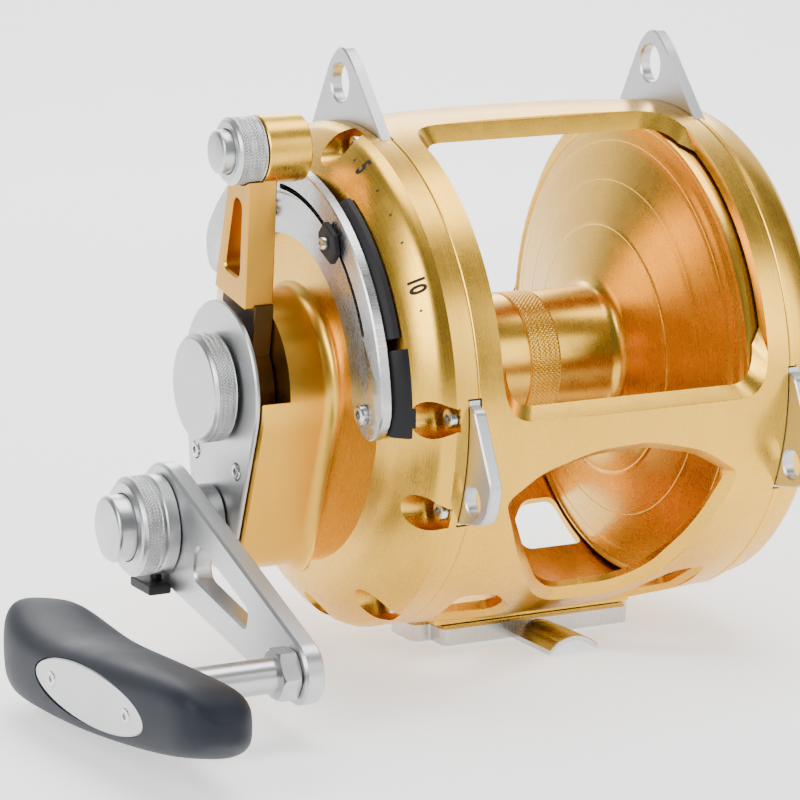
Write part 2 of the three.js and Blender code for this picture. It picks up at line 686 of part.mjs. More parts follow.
function buildDrive() {
  add('spool', buildSpool(), gold);
  add('click_wheel', ratchet(24, 21.5, 24.5, inside(113), inside(116), { y: 0, z: 0 }, 15 + GAP), steel);
  add('spool_bearing_tail_side', bearing(inside(112.7), inside(117.7), SPINDLE_R + GAP, 10.7), steel);
  add('spool_bearing_crank_side', bearing(inside(8.8), inside(13.7), SPINDLE_R + GAP, 10.7), steel);
  add('drag_disc', turned([
    [inside(6.6), 30], [inside(6.6), 77], [inside(8.2), 77], [inside(8.2), 30],
  ], 28), carbon);
  add('pressure_plate', turned([
    [inside(2.4), SPINDLE_R + GAP], [inside(2.4), 14], [inside(3.4), 30], [inside(3.4), 76],
    [inside(5.9), 76], [inside(5.9), 30], [inside(5.4), 14], [inside(5.4), SPINDLE_R + GAP],
  ], 28), steel);
  add('spindle', rod(tail(18.6), out(47), SPINDLE_R, undefined, 24), steel);
  const meshAngle = Math.atan2(CRANK.z, CRANK.y);
  const halfTooth = (teeth) => Math.PI / teeth;
  const towardsSpool = meshAngle + Math.PI;
  add('high_pinion', gear(
    HIGH_PINION_TEETH, out(0.9), out(5.9), { y: 0, z: 0 },
    meshAngle + halfTooth(HIGH_PINION_TEETH), SPINDLE_R + GAP,
  ), steel);
  add('low_pinion', gear(
    LOW_PINION_TEETH, out(8.2), out(13.2), { y: 0, z: 0 },
    meshAngle + halfTooth(LOW_PINION_TEETH), SPINDLE_R + GAP,
  ), steel);
  add('high_gear', gear(HIGH_GEAR_TEETH, out(0.9), out(5.9), CRANK, towardsSpool, SHAFT_R + GAP), steel);
  add('low_gear', gear(LOW_GEAR_TEETH, out(8.2), out(13.2), CRANK, towardsSpool, SHAFT_R + GAP), steel);
  add('anti_reverse_wheel', ratchet(12, 15.5, 19, out(14.5), out(18), CRANK, SHAFT_R + GAP), steel);
}

function buildPawl() {
  const pivot = rod(out(14.5), out(18), 3.6, PAWL_PIVOT, 14);
  const arm = slab(roundedShape([
    [PAWL_PIVOT.y - 2.6, PAWL_PIVOT.z, 0.5],
    [PAWL_PIVOT.y + 1.2, PAWL_PIVOT.z - 13.2, 0.5],
    [PAWL_PIVOT.y + 4.2, PAWL_PIVOT.z - 14.1, 0.5],
    [PAWL_PIVOT.y + 2.6, PAWL_PIVOT.z, 0.5],
  ]), out(14.5), out(18));
  const pin = rod(out(17.9), out(21.6), 2, PAWL_PIVOT, 8);
  return union(pivot, arm, pin);
}

// ---------------------------------------------------------------- crank

const ARM_BACK = 66.8;
const ARM_FRONT = 73.8;

// Stem of the release tab, or its hole in the crank cap when grown by a clearance.
function tabStem(clearance) {
  return box(
    out(77.5 + clearance), out(75.2 - clearance),
    CRANK.y - 2.5 - clearance, CRANK.y + 2.5 + clearance,
    CRANK.z - 20, CRANK.z - 12.5 + clearance,
  );
}

function buildCrank() {
  add('crank_shaft', turned([
    [out(0.6), 0], [out(0.6), SHAFT_R], [out(54.5), SHAFT_R], [out(54.5), 12], [out(66.5), 12],
    [out(66.5), SHAFT_R - 1], [out(74), SHAFT_R - 1], [out(74), 0],
  ], 24, CRANK), steel);
  const hubToGrip = { y: GRIP.y - CRANK.y, z: GRIP.z - CRANK.z };
  const length = Math.hypot(hubToGrip.y, hubToGrip.z);
  const along = (distance, aside = 0) => ({
    y: CRANK.y + (hubToGrip.y * distance - hubToGrip.z * aside) / length,
    z: CRANK.z + (hubToGrip.z * distance + hubToGrip.y * aside) / length,
  });
  const arm = slab(keyhole(CRANK, 21, GRIP, 11), out(ARM_BACK), out(ARM_FRONT), 10);
  const slotCorners = [[28.5, 6.6, 5], [28.5, -6.6, 5], [71.5, -3.4, 2.5], [71.5, 3.4, 2.5]];
  const slotShape = roundedShape(slotCorners.map(([distance, aside, radius]) => {
    const { y, z } = along(distance, aside);
    return [y, z, radius];
  }));
  add('crank_arm', cut(
    arm,
    slab(slotShape, out(60), out(80)),
    rod(out(60), out(80), SHAFT_R - 1 + GAP, CRANK, 32),
    rod(out(60), out(80), 5, GRIP, 24),
  ), silver);
  const cap = turned([
    [out(74.1), 4], [out(74.1), 17.5], [out(79), 17.5], [out(79.3), 16.6], [out(79.9), 16.6],
    [out(80.2), 17.4], [out(86.4), 17.4], [out(88), 15.6], [out(88), 12.1], [out(78), 12.1],
    [out(78), 4],
  ], 24, CRANK);
  add('crank_cap', cut(cap, tabStem(GAP)), silver);
  add('shift_button', union(
    chamferedRod(out(82), out(94.7), 11.7, 1, CRANK, 28),
    rod(out(77.4), out(83), 3.7, CRANK, 12),
  ), silver);
  add('gear_release_tab', union(
    tabStem(0),
    box(out(82.5), out(74.2), CRANK.y - 8.5, CRANK.y + 8.5, CRANK.z - 23.4, CRANK.z - 19.6),
  ), blackPlastic);
  add('handle_shank', turned([
    [out(66.8), 0], [out(66.8), 4.7], [out(74.1), 4.7], [out(74.1), 8.6], [out(75), 9.2],
    [out(79.8), 9.2], [out(80.7), 8.2], [out(80.7), 5.9], [out(112), 5.9], [out(112), 4],
    [out(138), 4], [out(138), 0],
  ], 16, GRIP), silver);
}

const GRIP_LEAN = 0.18; // rise of the outer side per mm towards -X
// Each station of the grip along Y: half depth along X, top and bottom.
const GRIP_STATIONS = [
  [-65.5, 4, 7, 1], [-63, 9, 12, -1.5], [-58, 12.5, 15.2, -5], [-50, 14, 16.3, -9],
  [-30, 15.8, 15, -13], [-5, 18.3, 13.2, -16.4], [20, 20.6, 10.9, -19], [45, 21.3, 9.4, -20.3],
  [62, 21, 10.8, -21], [74, 18.5, 13.4, -21.8], [81, 15, 13.6, -19], [85.5, 10.5, 9.5, -13],
  [87.5, 5.5, 4, -7],
];
const PLATE_LEAN = 4.6; // degrees, so that the grip plate follows the grip's outer face

// Places a piece of the grip plate on the grip's outer face.
function placedOnFace(manifold) {
  const geometry = toGeometry(manifold);
  geometry.rotateZ(radians(PLATE_LEAN));
  geometry.translate(out(143.2), GRIP.y, GRIP.z);
  return solid(geometry);
}

// Long rounded hand grip lying along Y, fatter towards +Y and leaning up on its outer side.
function buildGrip() {
  const sides = 16;
  const squareness = 0.62;
  const rings = GRIP_STATIONS.map(([y, halfDepth, top, bottom]) => {
    const ring = [];
    for (let i = 0; i < sides; i += 1) {
      const angle = (2 * Math.PI * i) / sides;
      const across = Math.sign(Math.cos(angle)) * Math.abs(Math.cos(angle)) ** squareness;
      const upward = Math.sign(Math.sin(angle)) * Math.abs(Math.sin(angle)) ** squareness;
      const x = across * halfDepth;
      const z = (top + bottom) / 2 + (upward * (top - bottom)) / 2 - x * GRIP_LEAN;
      ring.push([x + out(127), y + GRIP.y, z + GRIP.z]);
    }
    return ring;
  });
  const cap = [];
  for (let i = 1; i < sides - 1; i += 1) cap.push([0, i, i + 1]);
  return cut(
    loft(rings, cap),
    rod(out(100), out(112.5), 5.9 + GAP, GRIP, 32),
    rod(out(100), out(138.4), 4 + GAP, GRIP, 32),
    placedOnFace(slab(ovalShape(37.3, 9.7), -8, 0.3, 12)),
  );
}

function ovalShape(halfLength, halfHeight) {
  const shape = new THREE.Shape();
  shape.absellipse(2, 0.6, halfLength, halfHeight, 0, 2 * Math.PI, false, 0);
  shape.closePath();
  return shape;
}

// ---------------------------------------------------------------- drag lever

// Turns a piece drawn straight up to the lever's rest angle.
function turnedToLever(manifold) {
  const geometry = toGeometry(manifold);
  geometry.rotateX(radians(LEVER_ANGLE - 90));
  return solid(geometry);
}

const COLLAR_BACK = 47.8;
const COLLAR_CENTRE = { y: 0, z: 85.9 }; // before the lever is turned to its rest angle

function buildLever() {
  const hub = slab(circleShape({ y: 0, z: 0 }, 20.2), out(38.4), out(49.4), 10);
  const inner = slab(roundedShape([
    [-13, 0, 0], [13, 0, 0], [13, 34, 0], [-13, 34, 0],
  ]), out(38.4), out(49.4));
  const arm = slab(roundedShape([
    [-12.3, 33, 0], [12.3, 33, 0], [7.4, 79, 0], [-7.4, 79, 0],
  ]), out(42.2), out(53.2));
  const barrel = rod(out(31.6), out(COLLAR_BACK - GAP), 11.7, COLLAR_CENTRE, 28);
  const slot = slab(roundedShape([
    [-6.4, 42, 3], [6.4, 42, 3], [3.7, 68, 3], [-3.7, 68, 3],
  ]), out(30), out(60));
  const quadrantGroove = turned([
    [out(30), 60], [out(30), 76.3], [out(33), 76.3], [out(33), 60],
  ], RING_SIDES);
  const lever = cut(
    union(hub, inner, cut(arm, rod(out(COLLAR_BACK - GAP), out(60), 12, COLLAR_CENTRE, 28)), barrel),
    slot,
    quadrantGroove,
    rod(out(44), out(60), 4.3, COLLAR_CENTRE, 16),
    rod(out(30), out(60), SPINDLE_R + GAP, undefined, 32),
  );
  add('drag_lever', turnedToLever(lever), gold);
  add('lever_collar', turnedToLever(turned([
    [out(COLLAR_BACK), 4.3], [out(COLLAR_BACK), 11.2], [out(48.2), 11.6], [out(57.6), 11.6],
    [out(58.6), 10.6], [out(58.6), 7.9], [out(52.9), 7.9], [out(52.9), 4.3],
  ], 28, COLLAR_CENTRE)), silver);
  add('lever_button', turnedToLever(union(
    chamferedRod(out(55.2), out(62.8), 7.5, 0.9, COLLAR_CENTRE, 24),
    rod(out(46.5), out(56), 4, COLLAR_CENTRE, 16),
  )), silver);
}

// ---------------------------------------------------------------- foot

const UNDERSIDE = -AXIS_HEIGHT;
const TONGUE_HALF_WIDTH = 10;
const TONGUE_RISE = 4.2;
const TONGUE_THICKNESS = 1.8;
const TONGUE_TIP_Y = 47;

function buildFoot() {
  const outline = roundedShape([
    [-45, -10, 5], [-38, -10, 1], [-38, -20, 3], [38, -20, 3], [38, -10, 1], [45, -10, 5],
    [45, 10, 5], [38, 10, 1], [38, 20, 3], [-38, 20, 3], [-38, 10, 1], [-45, 10, 5],
  ]);
  const base = plate(outline, UNDERSIDE, FLAT_Z - GAP);
  const arch = new THREE.Shape();
  arch.moveTo(-TONGUE_HALF_WIDTH, 0);
  arch.quadraticCurveTo(0, 2 * TONGUE_RISE, TONGUE_HALF_WIDTH, 0);
  arch.lineTo(TONGUE_HALF_WIDTH, TONGUE_THICKNESS);
  arch.quadraticCurveTo(0, 2 * TONGUE_RISE + TONGUE_THICKNESS, -TONGUE_HALF_WIDTH, TONGUE_THICKNESS);
  arch.closePath();
  const geometry = new THREE.ExtrudeGeometry(arch, {
    depth: 2 * TONGUE_TIP_Y, bevelEnabled: false, curveSegments: 8,
  });
  geometry.rotateX(Math.PI / 2);
  geometry.translate(0, TONGUE_TIP_Y, UNDERSIDE);
  const screwHoles = FOOT_SCREW_X.flatMap((x) => [
    verticalRod(x, 0, UNDERSIDE - 1, FLAT_Z + 1, 2.6),
    verticalRod(x, 0, UNDERSIDE - 1, UNDERSIDE + 3, 4.8, 14),
  ]);
  return cut(union(base, solid(geometry)), ...screwHoles);
}

function buildFootScrew(x) {
  const head = verticalRod(x, 0, UNDERSIDE + 0.4, UNDERSIDE + 2.7, 4.4, 14);
  const shank = verticalRod(x, 0, UNDERSIDE + 2.6, -87.2, 2, 8);
  return cut(union(head, shank), verticalRod(x, 0, UNDERSIDE, UNDERSIDE + 1.8, 1.8, 6));
}

// ---------------------------------------------------------------- assembly

add('frame', buildFrame(), gold);
add('crank_side_plate', buildCrankSidePlate(), gold);
add('tail_side_plate', buildTailPlate(), gold);
buildLugs();
add('reel_foot', buildFoot(), polished);
FOOT_SCREW_X.forEach((x, i) => add(`foot_screw_${i + 1}`, buildFootScrew(x), steel));
PLATE_SCREW_ANGLES.forEach((degrees, i) => {
  const [y, z] = polar(PLATE_SCREW_R, degrees);
  add(`plate_screw_${i + 1}`, capScrew(out(9.6), out(-4), 3.4, 2.3, 1.5, { y, z }), steel);
});
TAIL_SCREW_ANGLES.forEach((degrees, i) => {
  const [y, z] = polar(TAIL_SCREW_R, degrees);
  add(`tail_screw_${i + 1}`, capScrew(tail(5.8), tail(-6), 2, 2.4, 1, { y, z }), steel);
});
add('gear_cover', buildCover(), silver);
COVER_SCREWS.forEach((centre, i) => {
  add(`cover_screw_${i + 1}`, capScrew(out(COVER_FACE + 0.7), out(45), 2.8, 1.4, 1.5, centre), steel);
});
add('drag_quadrant', buildQuadrant(), polished);
add('quadrant_backing', buildBacking(), blackPlastic);
QUADRANT_SCREWS.forEach((centre, i) => {
  add(`quadrant_screw_${i + 1}`, capScrew(out(31.2), out(20.5), 3.4, 2.3, 2, centre), steel);
});
buildStrikeStop();
buildDrive();
add('anti_reverse_pawl', buildPawl(), steel);
add('drag_cam', turned([
  [out(29.3), SPINDLE_R + GAP], [out(29.3), 14.6], [out(36), 14.6], [out(37.8), 11],
  [out(37.8), SPINDLE_R + GAP],
], 20), steel);
add('drag_spring', turned([
  [out(20), 7], [out(20), 9], [out(28.6), 13.5], [out(28.6), 11.5],
], 20), steel);
buildLever();
add('preset_knob', turned([
  [out(49.9), 0], [out(49.9), 7.4], [out(54.4), 7.4], [out(54.4), 12], [out(55.2), 12],
  [out(55.2), 18.2], [out(55.8), 19], [out(63.2), 19], [out(64), 18], [out(64), 0],
], 32), silver);
buildCrank();
add('hand_grip', buildGrip(), rubber);
add('grip_plate', placedOnFace(slab(ovalShape(37, 9.4), -1.4, 0, 12)), silver);
add('click_knob', buildClickKnob(), silver);

export default reel;
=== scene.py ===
import math

import bmesh
import bpy
import numpy as np
from mathutils import Matrix, Vector


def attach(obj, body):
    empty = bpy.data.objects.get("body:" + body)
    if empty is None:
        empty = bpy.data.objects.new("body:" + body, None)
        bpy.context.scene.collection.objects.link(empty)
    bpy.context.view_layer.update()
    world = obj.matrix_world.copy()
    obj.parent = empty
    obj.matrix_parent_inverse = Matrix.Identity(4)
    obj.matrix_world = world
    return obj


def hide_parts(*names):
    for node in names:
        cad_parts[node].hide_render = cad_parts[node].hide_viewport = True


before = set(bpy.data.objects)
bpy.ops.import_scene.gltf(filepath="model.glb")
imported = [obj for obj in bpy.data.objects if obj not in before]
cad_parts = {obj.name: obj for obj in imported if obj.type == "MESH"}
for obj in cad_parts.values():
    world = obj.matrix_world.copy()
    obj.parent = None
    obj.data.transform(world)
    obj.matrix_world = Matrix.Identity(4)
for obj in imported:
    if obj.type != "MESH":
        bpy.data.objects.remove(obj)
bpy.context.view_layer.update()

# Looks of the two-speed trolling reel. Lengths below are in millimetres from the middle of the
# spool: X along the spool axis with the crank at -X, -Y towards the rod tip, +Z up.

MM = 0.001
AXIS_HEIGHT = 98.0
HALF_WIDTH = 61.0
CRANK = (6.0, -47.6)
GRIP = (-98.0, -75.5)
LEVER_ANGLE = 101.6
LEVER_MIN = 32.0
LEVER_MAX = 156.0
BOSS_R = 31.2
BOSS_TIP_R = 19.5
PLATE_SCREW_R = 84.0
PLATE_SCREW_ANGLES = (100, 180, 203, 241, 271, 312, 352, 40)
TAIL_SCREW_R = 87.1
TAIL_SCREW_ANGLES = (60, 15, 330, 290, 250)
LUG_SPANS = ((69.4, 106.4), (175.6, 205.6))
SIDES = 180
FINE_SIDES = 240
FRAME_SIDES = 241  # odd, so that no edge of a window runs along one of them
FLAT_Z = -90.7
SHAFT_HOLE_R = 8.3
SLOT_FLOOR = 41.8  # of the lever's slot in the boss: 4 mm nearer the cover than in the CAD
LEVER_BACK = 42.2
LEVER_FACE = 53.2
HUB_FACE = 49.4
LUG_THICKNESS = 4.5
QUADRANT_BACK = 26.2
QUADRANT_FACE = 30.2
STOP_R = 68.2
STOP_ANGLE = 127
ARM_BACK = 66.8
ARM_FRONT = 73.8
GRIP_MIDDLE = 127.0
GRIP_FACE = 143.2
KNURL_PITCH = 1.2
KNURL_DEPTH = 0.42


# ---- stations and outlines

def out(distance):
    """X of a station outwards from the crank-side seam."""
    return -HALF_WIDTH - distance


def tail(distance):
    """X of a station outwards from the tail-side seam."""
    return HALF_WIDTH + distance


def outward(*points):
    return [(out(distance), radius) for distance, radius in points]


def tailward(*points):
    return [(tail(distance), radius) for distance, radius in points]


def polar(radius, degrees, centre=(0, 0)):
    angle = math.radians(degrees)
    return centre[0] + radius * math.cos(angle), centre[1] + radius * math.sin(angle)


def arc(radius, start, end, steps, centre=(0, 0)):
    return [polar(radius, start + (end - start) * i / steps, centre) for i in range(steps + 1)]


def keyhole(c1, r1, c2, r2, steps=64):
    """Outline of two circles joined by their outer tangents."""
    direction = math.degrees(math.atan2(c2[1] - c1[1], c2[0] - c1[0]))
    spread = math.degrees(math.acos((r1 - r2) / math.dist(c1, c2)))
    big = arc(r1, direction + spread, direction - spread + 360, steps, c1)
    small = arc(r2, direction - spread, direction + spread, steps // 2, c2)
    return big + small


def arc_band(inner, outer, start, end, steps=60):
    """Outline of a ring sector with round ends."""
    middle = (inner + outer) / 2
    radius = (outer - inner) / 2
    points = arc(outer, start, end, steps)
    points += arc(radius, end, end + 180, 12, polar(middle, end))[1:-1]
    points += arc(inner, end, start, steps)
    points += arc(radius, start + 180, start + 360, 12, polar(middle, start))[1:-1]
    return points


def sector(inner, outer, start, end, steps=24):
    return arc(outer, start, end, steps) + arc(inner, end, start, steps)


def rectangle(y0, y1, z0, z1):
    return [(y0, z0), (y1, z0), (y1, z1), (y0, z1)]


def rounded(corners, steps=6):
    """Outline through (a, b, radius) corners, each rounded."""
    points = []
    for i, (a, b, radius) in enumerate(corners):
        here = Vector((a, b))
        if radius == 0:
            points.append((a, b))
            continue
        before = Vector(corners[i - 1][:2])
        after = Vector(corners[(i + 1) % len(corners)][:2])
        start = here + (before - here).normalized() * radius
        end = here + (after - here).normalized() * radius
        for k in range(steps + 1):
            t = k / steps
            point = start * (1 - t) ** 2 + here * 2 * t * (1 - t) + end * t ** 2
            points.append(tuple(point))
    return points


def flowing(points, steps=4):
    """A smooth curve through the points."""
    spots = [Vector(p) for p in points]
    spots = [spots[0] * 2 - spots[1]] + spots + [spots[-1] * 2 - spots[-2]]
    curve = []
    for a, b, c, d in zip(spots, spots[1:], spots[2:], spots[3:]):
        for k in range(steps):
            t = k / steps
            bend = (2 * a - 5 * b + 4 * c - d) * t ** 2 + (3 * (b - c) + d - a) * t ** 3
            curve.append(tuple(b + ((c - a) * t + bend) / 2))
    return curve + [tuple(points[-1])]


def area(outline):
    pairs = zip(outline, outline[1:] + outline[:1])
    return sum(a[0] * b[1] - b[0] * a[1] for a, b in pairs) / 2


def inset(outline, distance):
    """The outline moved inwards by a small distance."""
    turn = 1 if area(outline) > 0 else -1
    moved = []
    for i, point in enumerate(outline):
        here = Vector(point)
        before = (here - Vector(outline[i - 1])).normalized()
        after = (Vector(outline[(i + 1) % len(outline)]) - here).normalized()
        normal = Vector((-before.y - after.y, before.x + after.x)) * turn
        length = max(normal.length, 0.6)
        moved.append(tuple(here + normal * (2 * distance / length ** 2)))
    return moved


# ---- mesh building

def make(name, vertices, faces, smooth=32):
    """A mesh object from axis-centred millimetre points, closed and with sharp edges marked."""
    mesh = bpy.data.meshes.new(name)
    placed = [(x * MM, y * MM, (z + AXIS_HEIGHT) * MM) for x, y, z in vertices]
    mesh.from_pydata(placed, [], faces)
    mesh.update()
    bm = bmesh.new()
    bm.from_mesh(mesh)
    bmesh.ops.remove_doubles(bm, verts=bm.verts, dist=1e-7)
    bmesh.ops.recalc_face_normals(bm, faces=bm.faces)
    bm.to_mesh(mesh)
    bm.free()
    piece = bpy.data.objects.new(name, mesh)
    bpy.context.scene.collection.objects.link(piece)
    soften(piece, smooth)
    return piece


def soften(piece, degrees):
    piece.data.polygons.foreach_set("use_smooth", [True] * len(piece.data.polygons))
    piece.data.set_sharp_from_angle(angle=math.radians(degrees))
    return piece


def lathe(name, profile, centre=(0, 0), sides=SIDES, closed=None, smooth=32, ripple=None):
    """A turned piece about a line parallel to X. The profile is (x, radius) points."""
    if closed is None:
        closed = profile[0][1] > 0 and profile[-1][1] > 0
    vertices, faces = [], []
    for i in range(sides):
        angle = 360 * i / sides
        for x, radius in profile:
            extra = ripple(x, radius, angle) if ripple else 0
            y, z = polar(radius + extra, angle, centre)
            vertices.append((x, y, z))
    rows = len(profile)
    last = rows if closed else rows - 1
    for i in range(sides):
        j = (i + 1) % sides
        for k in range(last):
            m = (k + 1) % rows
            faces.append((i * rows + k, i * rows + m, j * rows + m, j * rows + k))
    return make(name, vertices, faces, smooth)


def skin(name, rings, smooth=32):
    """A closed skin over rings of points, capped at both ends."""
    count = len(rings[0])
    vertices = [point for ring in rings for point in ring]
    faces = []
    for level in range(len(rings) - 1):
        base = level * count
        for i in range(count):
            j = (i + 1) % count
            faces.append((base + i, base + j, base + count + j, base + count + i))
    faces.append(tuple(reversed(range(count))))
    faces.append(tuple(range((len(rings) - 1) * count, len(rings) * count)))
    return make(name, vertices, faces, smooth)


def prism(name, outline, x0, x1, chamfer=0.4, smooth=32):
    """A flat outline in the YZ plane pulled along X, with its rims chamfered."""
    small = inset(outline, chamfer) if chamfer else outline
    step = math.copysign(chamfer, x1 - x0)
    levels = [(x0, small), (x0 + step, outline), (x1 - step, outline), (x1, small)]
    if not chamfer:
        levels = [(x0, outline), (x1, outline)]
    return skin(name, [[(x, y, z) for y, z in points] for x, points in levels], smooth)


def rod(name, x0, x1, radius, centre=(0, 0), chamfer=0, sides=48):
    outline = [polar(radius, 360 * i / sides, centre) for i in range(sides)]
    return prism(name, outline, x0, x1, chamfer)


def apply_modifiers(piece):
    graph = bpy.context.evaluated_depsgraph_get()
    mesh = bpy.data.meshes.new_from_object(piece.evaluated_get(graph))
    piece.modifiers.clear()
    piece.data = mesh
    return piece


def combine(piece, tool, operation):
    modifier = piece.modifiers.new("combine", "BOOLEAN")
    modifier.operation = operation
    modifier.solver = "EXACT"
    modifier.object = tool
    apply_modifiers(piece)
    bpy.data.objects.remove(tool)
    return piece


def cut(piece, *tools, smooth=32):
    for tool in tools:
        combine(piece, tool, "DIFFERENCE")
    soften(piece, smooth)
    return piece


def joined(piece, *others):
    """Several shells kept as one object."""
    bm = bmesh.new()
    bm.from_mesh(piece.data)
    for other in others:
        bm.from_mesh(other.data)
        bpy.data.objects.remove(other)
    bm.to_mesh(piece.data)
    bm.free()
    soften(piece, 32)
    return piece


def turned_normals(piece, profile, centre=(0, 0), closed=False, crease=32):
    """Exact normals for the faces that still lie on a turned profile after it has been cut."""
    mesh = piece.data
    points = np.array(profile, float)
    ends = np.roll(points, -1, axis=0) if closed else points[1:]
    starts = points if closed else points[:-1]
    steps = ends - starts
    lengths = np.linalg.norm(steps, axis=1)
    normals = np.stack([-steps[:, 1], steps[:, 0]], axis=1) / np.maximum(lengths, 1e-9)[:, None]

    def blended(k, other):
        if other < 0 or other >= len(normals):
            return normals[k]
        if normals[k] @ normals[other] < math.cos(math.radians(crease)):
            return normals[k]
        total = normals[k] + normals[other]
        return total / np.linalg.norm(total)

    first = [blended(k, k - 1) for k in range(len(normals))]
    second = [blended(k, k + 1) for k in range(len(normals))]
    loops = np.zeros(len(mesh.loops) * 3, np.float32)
    mesh.corner_normals.foreach_get("vector", loops)
    loops = loops.reshape(-1, 3)
    co = np.zeros(len(mesh.vertices) * 3, np.float32)
    mesh.vertices.foreach_get("co", co)
    co = co.reshape(-1, 3) / MM
    y = co[:, 1] - centre[0]
    z = co[:, 2] - AXIS_HEIGHT - centre[1]
    radius = np.hypot(y, z)
    flat = np.stack([co[:, 0], radius], axis=1)
    for face in mesh.polygons:
        ids = np.array(face.vertices)
        p = flat[ids]
        t = ((p[:, None] - starts[None]) * steps[None]).sum(2) / np.maximum(lengths ** 2, 1e-9)
        foot = starts[None] + np.clip(t, 0, 1)[..., None] * steps[None]
        gap = np.linalg.norm(foot - p[:, None], axis=2).max(0)
        k = int(gap.argmin())
        if gap[k] > 0.06:
            continue
        for loop, vertex in zip(face.loop_indices, ids):
            share = float(np.clip(t[list(ids).index(vertex), k], 0, 1))
            across = first[k] * (1 - share) + second[k] * share
            r = max(radius[vertex], 1e-6)
            normal = np.array([across[0], across[1] * y[vertex] / r, across[1] * z[vertex] / r])
            length = np.linalg.norm(normal)
            if length < 1e-6:
                continue
            normal /= length
            if normal @ np.array(face.normal) < 0:
                normal = -normal
            if normal @ np.array(face.normal) > 0.8:
                loops[loop] = normal
    mesh.normals_split_custom_set([tuple(n) for n in loops])
    return piece


def dress(piece, material, body, slot, *nodes):
    """Gives a piece its material, the body it rides on and the nodes that it stands for."""
    piece.data.materials.clear()
    piece.data.materials.append(material)
    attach(piece, body)
    if nodes:
        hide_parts(*nodes)
    return piece


# ---- materials

class Shader:
    """Adds and links the nodes of one material."""

    def __init__(self, name):
        self.material = bpy.data.materials.new(name)
        self.material.use_nodes = True
        self.nodes = self.material.node_tree.nodes
        self.links = self.material.node_tree.links
        self.surface = self.nodes["Principled BSDF"]
        self.place = self.add("ShaderNodeTexCoord").outputs["Object"]

    def add(self, kind, inputs=None, **settings):
        node = self.nodes.new(kind)
        for key, value in settings.items():
            setattr(node, key, value)
        for key, value in (inputs or {}).items():
            if isinstance(value, bpy.types.NodeSocket):
                self.links.new(value, node.inputs[key])
            else:
                node.inputs[key].default_value = value
        return node

    def math(self, operation, a, b=0.0, c=0.0):
        node = self.add("ShaderNodeMath", {0: a, 1: b, 2: c}, operation=operation)
        return node.outputs[0]

    def noise(self, vector, scale, detail=3.0, roughness=0.5):
        inputs = {"Vector": vector, "Scale": scale, "Detail": detail, "Roughness": roughness}
        return self.add("ShaderNodeTexNoise", inputs).outputs["Fac"]

    def mix(self, factor, first, second):
        node = self.add("ShaderNodeMix", data_type="RGBA")
        for index, value in ((0, factor), (6, first), (7, second)):
            if isinstance(value, bpy.types.NodeSocket):
                self.links.new(value, node.inputs[index])
            else:
                node.inputs[index].default_value = value
        return node.outputs[2]

    def remap(self, value, low, high, to_low, to_high):
        inputs = {0: value, 1: low, 2: high, 3: to_low, 4: to_high}
        return self.add("ShaderNodeMapRange", inputs).outputs[0]

    def bump(self, height, strength, distance):
        inputs = {"Height": height, "Strength": strength, "Distance": distance}
        return self.add("ShaderNodeBump", inputs).outputs["Normal"]

    def set(self, **values):
        for key, value in values.items():
            socket = self.surface.inputs[key.replace("_", " ")]
            if isinstance(value, bpy.types.NodeSocket):
                self.links.new(value, socket)
            else:
                socket.default_value = value


def tint(color, factor):
    return tuple(min(1.0, c * factor) for c in color) + (1.0,)


def turned_metal(name, color, roughness, anisotropy=0.5, centre=(0, 0), ring_mm=0.35,
                 depth=0.04):
    """Metal turned on a lathe: fine rings about the X axis, with handling marks over them, a painted
    highlight on its edges and painted shade in its hollows.
    """
    s = Shader(name)
    axis = (0.0, centre[0] * MM, (AXIS_HEIGHT + centre[1]) * MM)
    arm = s.add("ShaderNodeVectorMath", {0: s.place, 1: axis}, operation="SUBTRACT").outputs[0]
    split = s.add("ShaderNodeSeparateXYZ", {0: arm})
    flat = s.add("ShaderNodeCombineXYZ", {1: split.outputs[1], 2: split.outputs[2]}).outputs[0]
    radius = s.add("ShaderNodeVectorMath", {0: flat}, operation="LENGTH").outputs["Value"]
    rings_at = s.add("ShaderNodeCombineXYZ", {0: split.outputs[0], 1: radius}).outputs[0]
    rings = s.noise(rings_at, 1 / (ring_mm * MM), 2.0, 0.6)
    wide = s.noise(rings_at, 1 / (9 * MM), 2.0, 0.5)
    cloud = s.noise(s.place, 28.0, 3.0, 0.6)
    smears = s.noise(s.place, 140.0, 5.0, 0.65)
    around = s.add("ShaderNodeVectorMath", {0: flat, 1: (1.0, 0.0, 0.0)}, operation="CROSS_PRODUCT")
    tangent = s.add("ShaderNodeVectorMath", {0: around.outputs[0]}, operation="NORMALIZE").outputs[0]
    edge = s.add("ShaderNodeNewGeometry").outputs["Pointiness"]
    shade = s.mix(s.remap(cloud, 0.3, 0.7, 0.0, 1.0), tint(color, 0.94), tint(color, 1.04))
    shade = s.mix(s.remap(wide, 0.35, 0.65, 0.0, 0.2), shade, tint(color, 0.88))
    # painted highlight: convex edges lighter
    shade = s.mix(s.remap(edge, 0.52, 0.6, 0.0, 0.55), shade, tint(color, 1.25))
    # painted shade: concave creases and hollows darker
    shade = s.mix(s.remap(edge, 0.4, 0.48, 0.5, 0.0), shade, tint(color, 0.4))
    rough = s.remap(rings, 0.3, 0.7, roughness - 0.5 * depth, roughness + 0.6 * depth)
    rough = s.math("ADD", rough, s.remap(smears, 0.5, 0.75, 0.0, 0.05))
    s.set(Base_Color=shade, Roughness=rough, Tangent=tangent)
    s.set(Metallic=1.0, Anisotropic=anisotropy, Normal=s.bump(rings, depth, 0.00003))
    return s.material


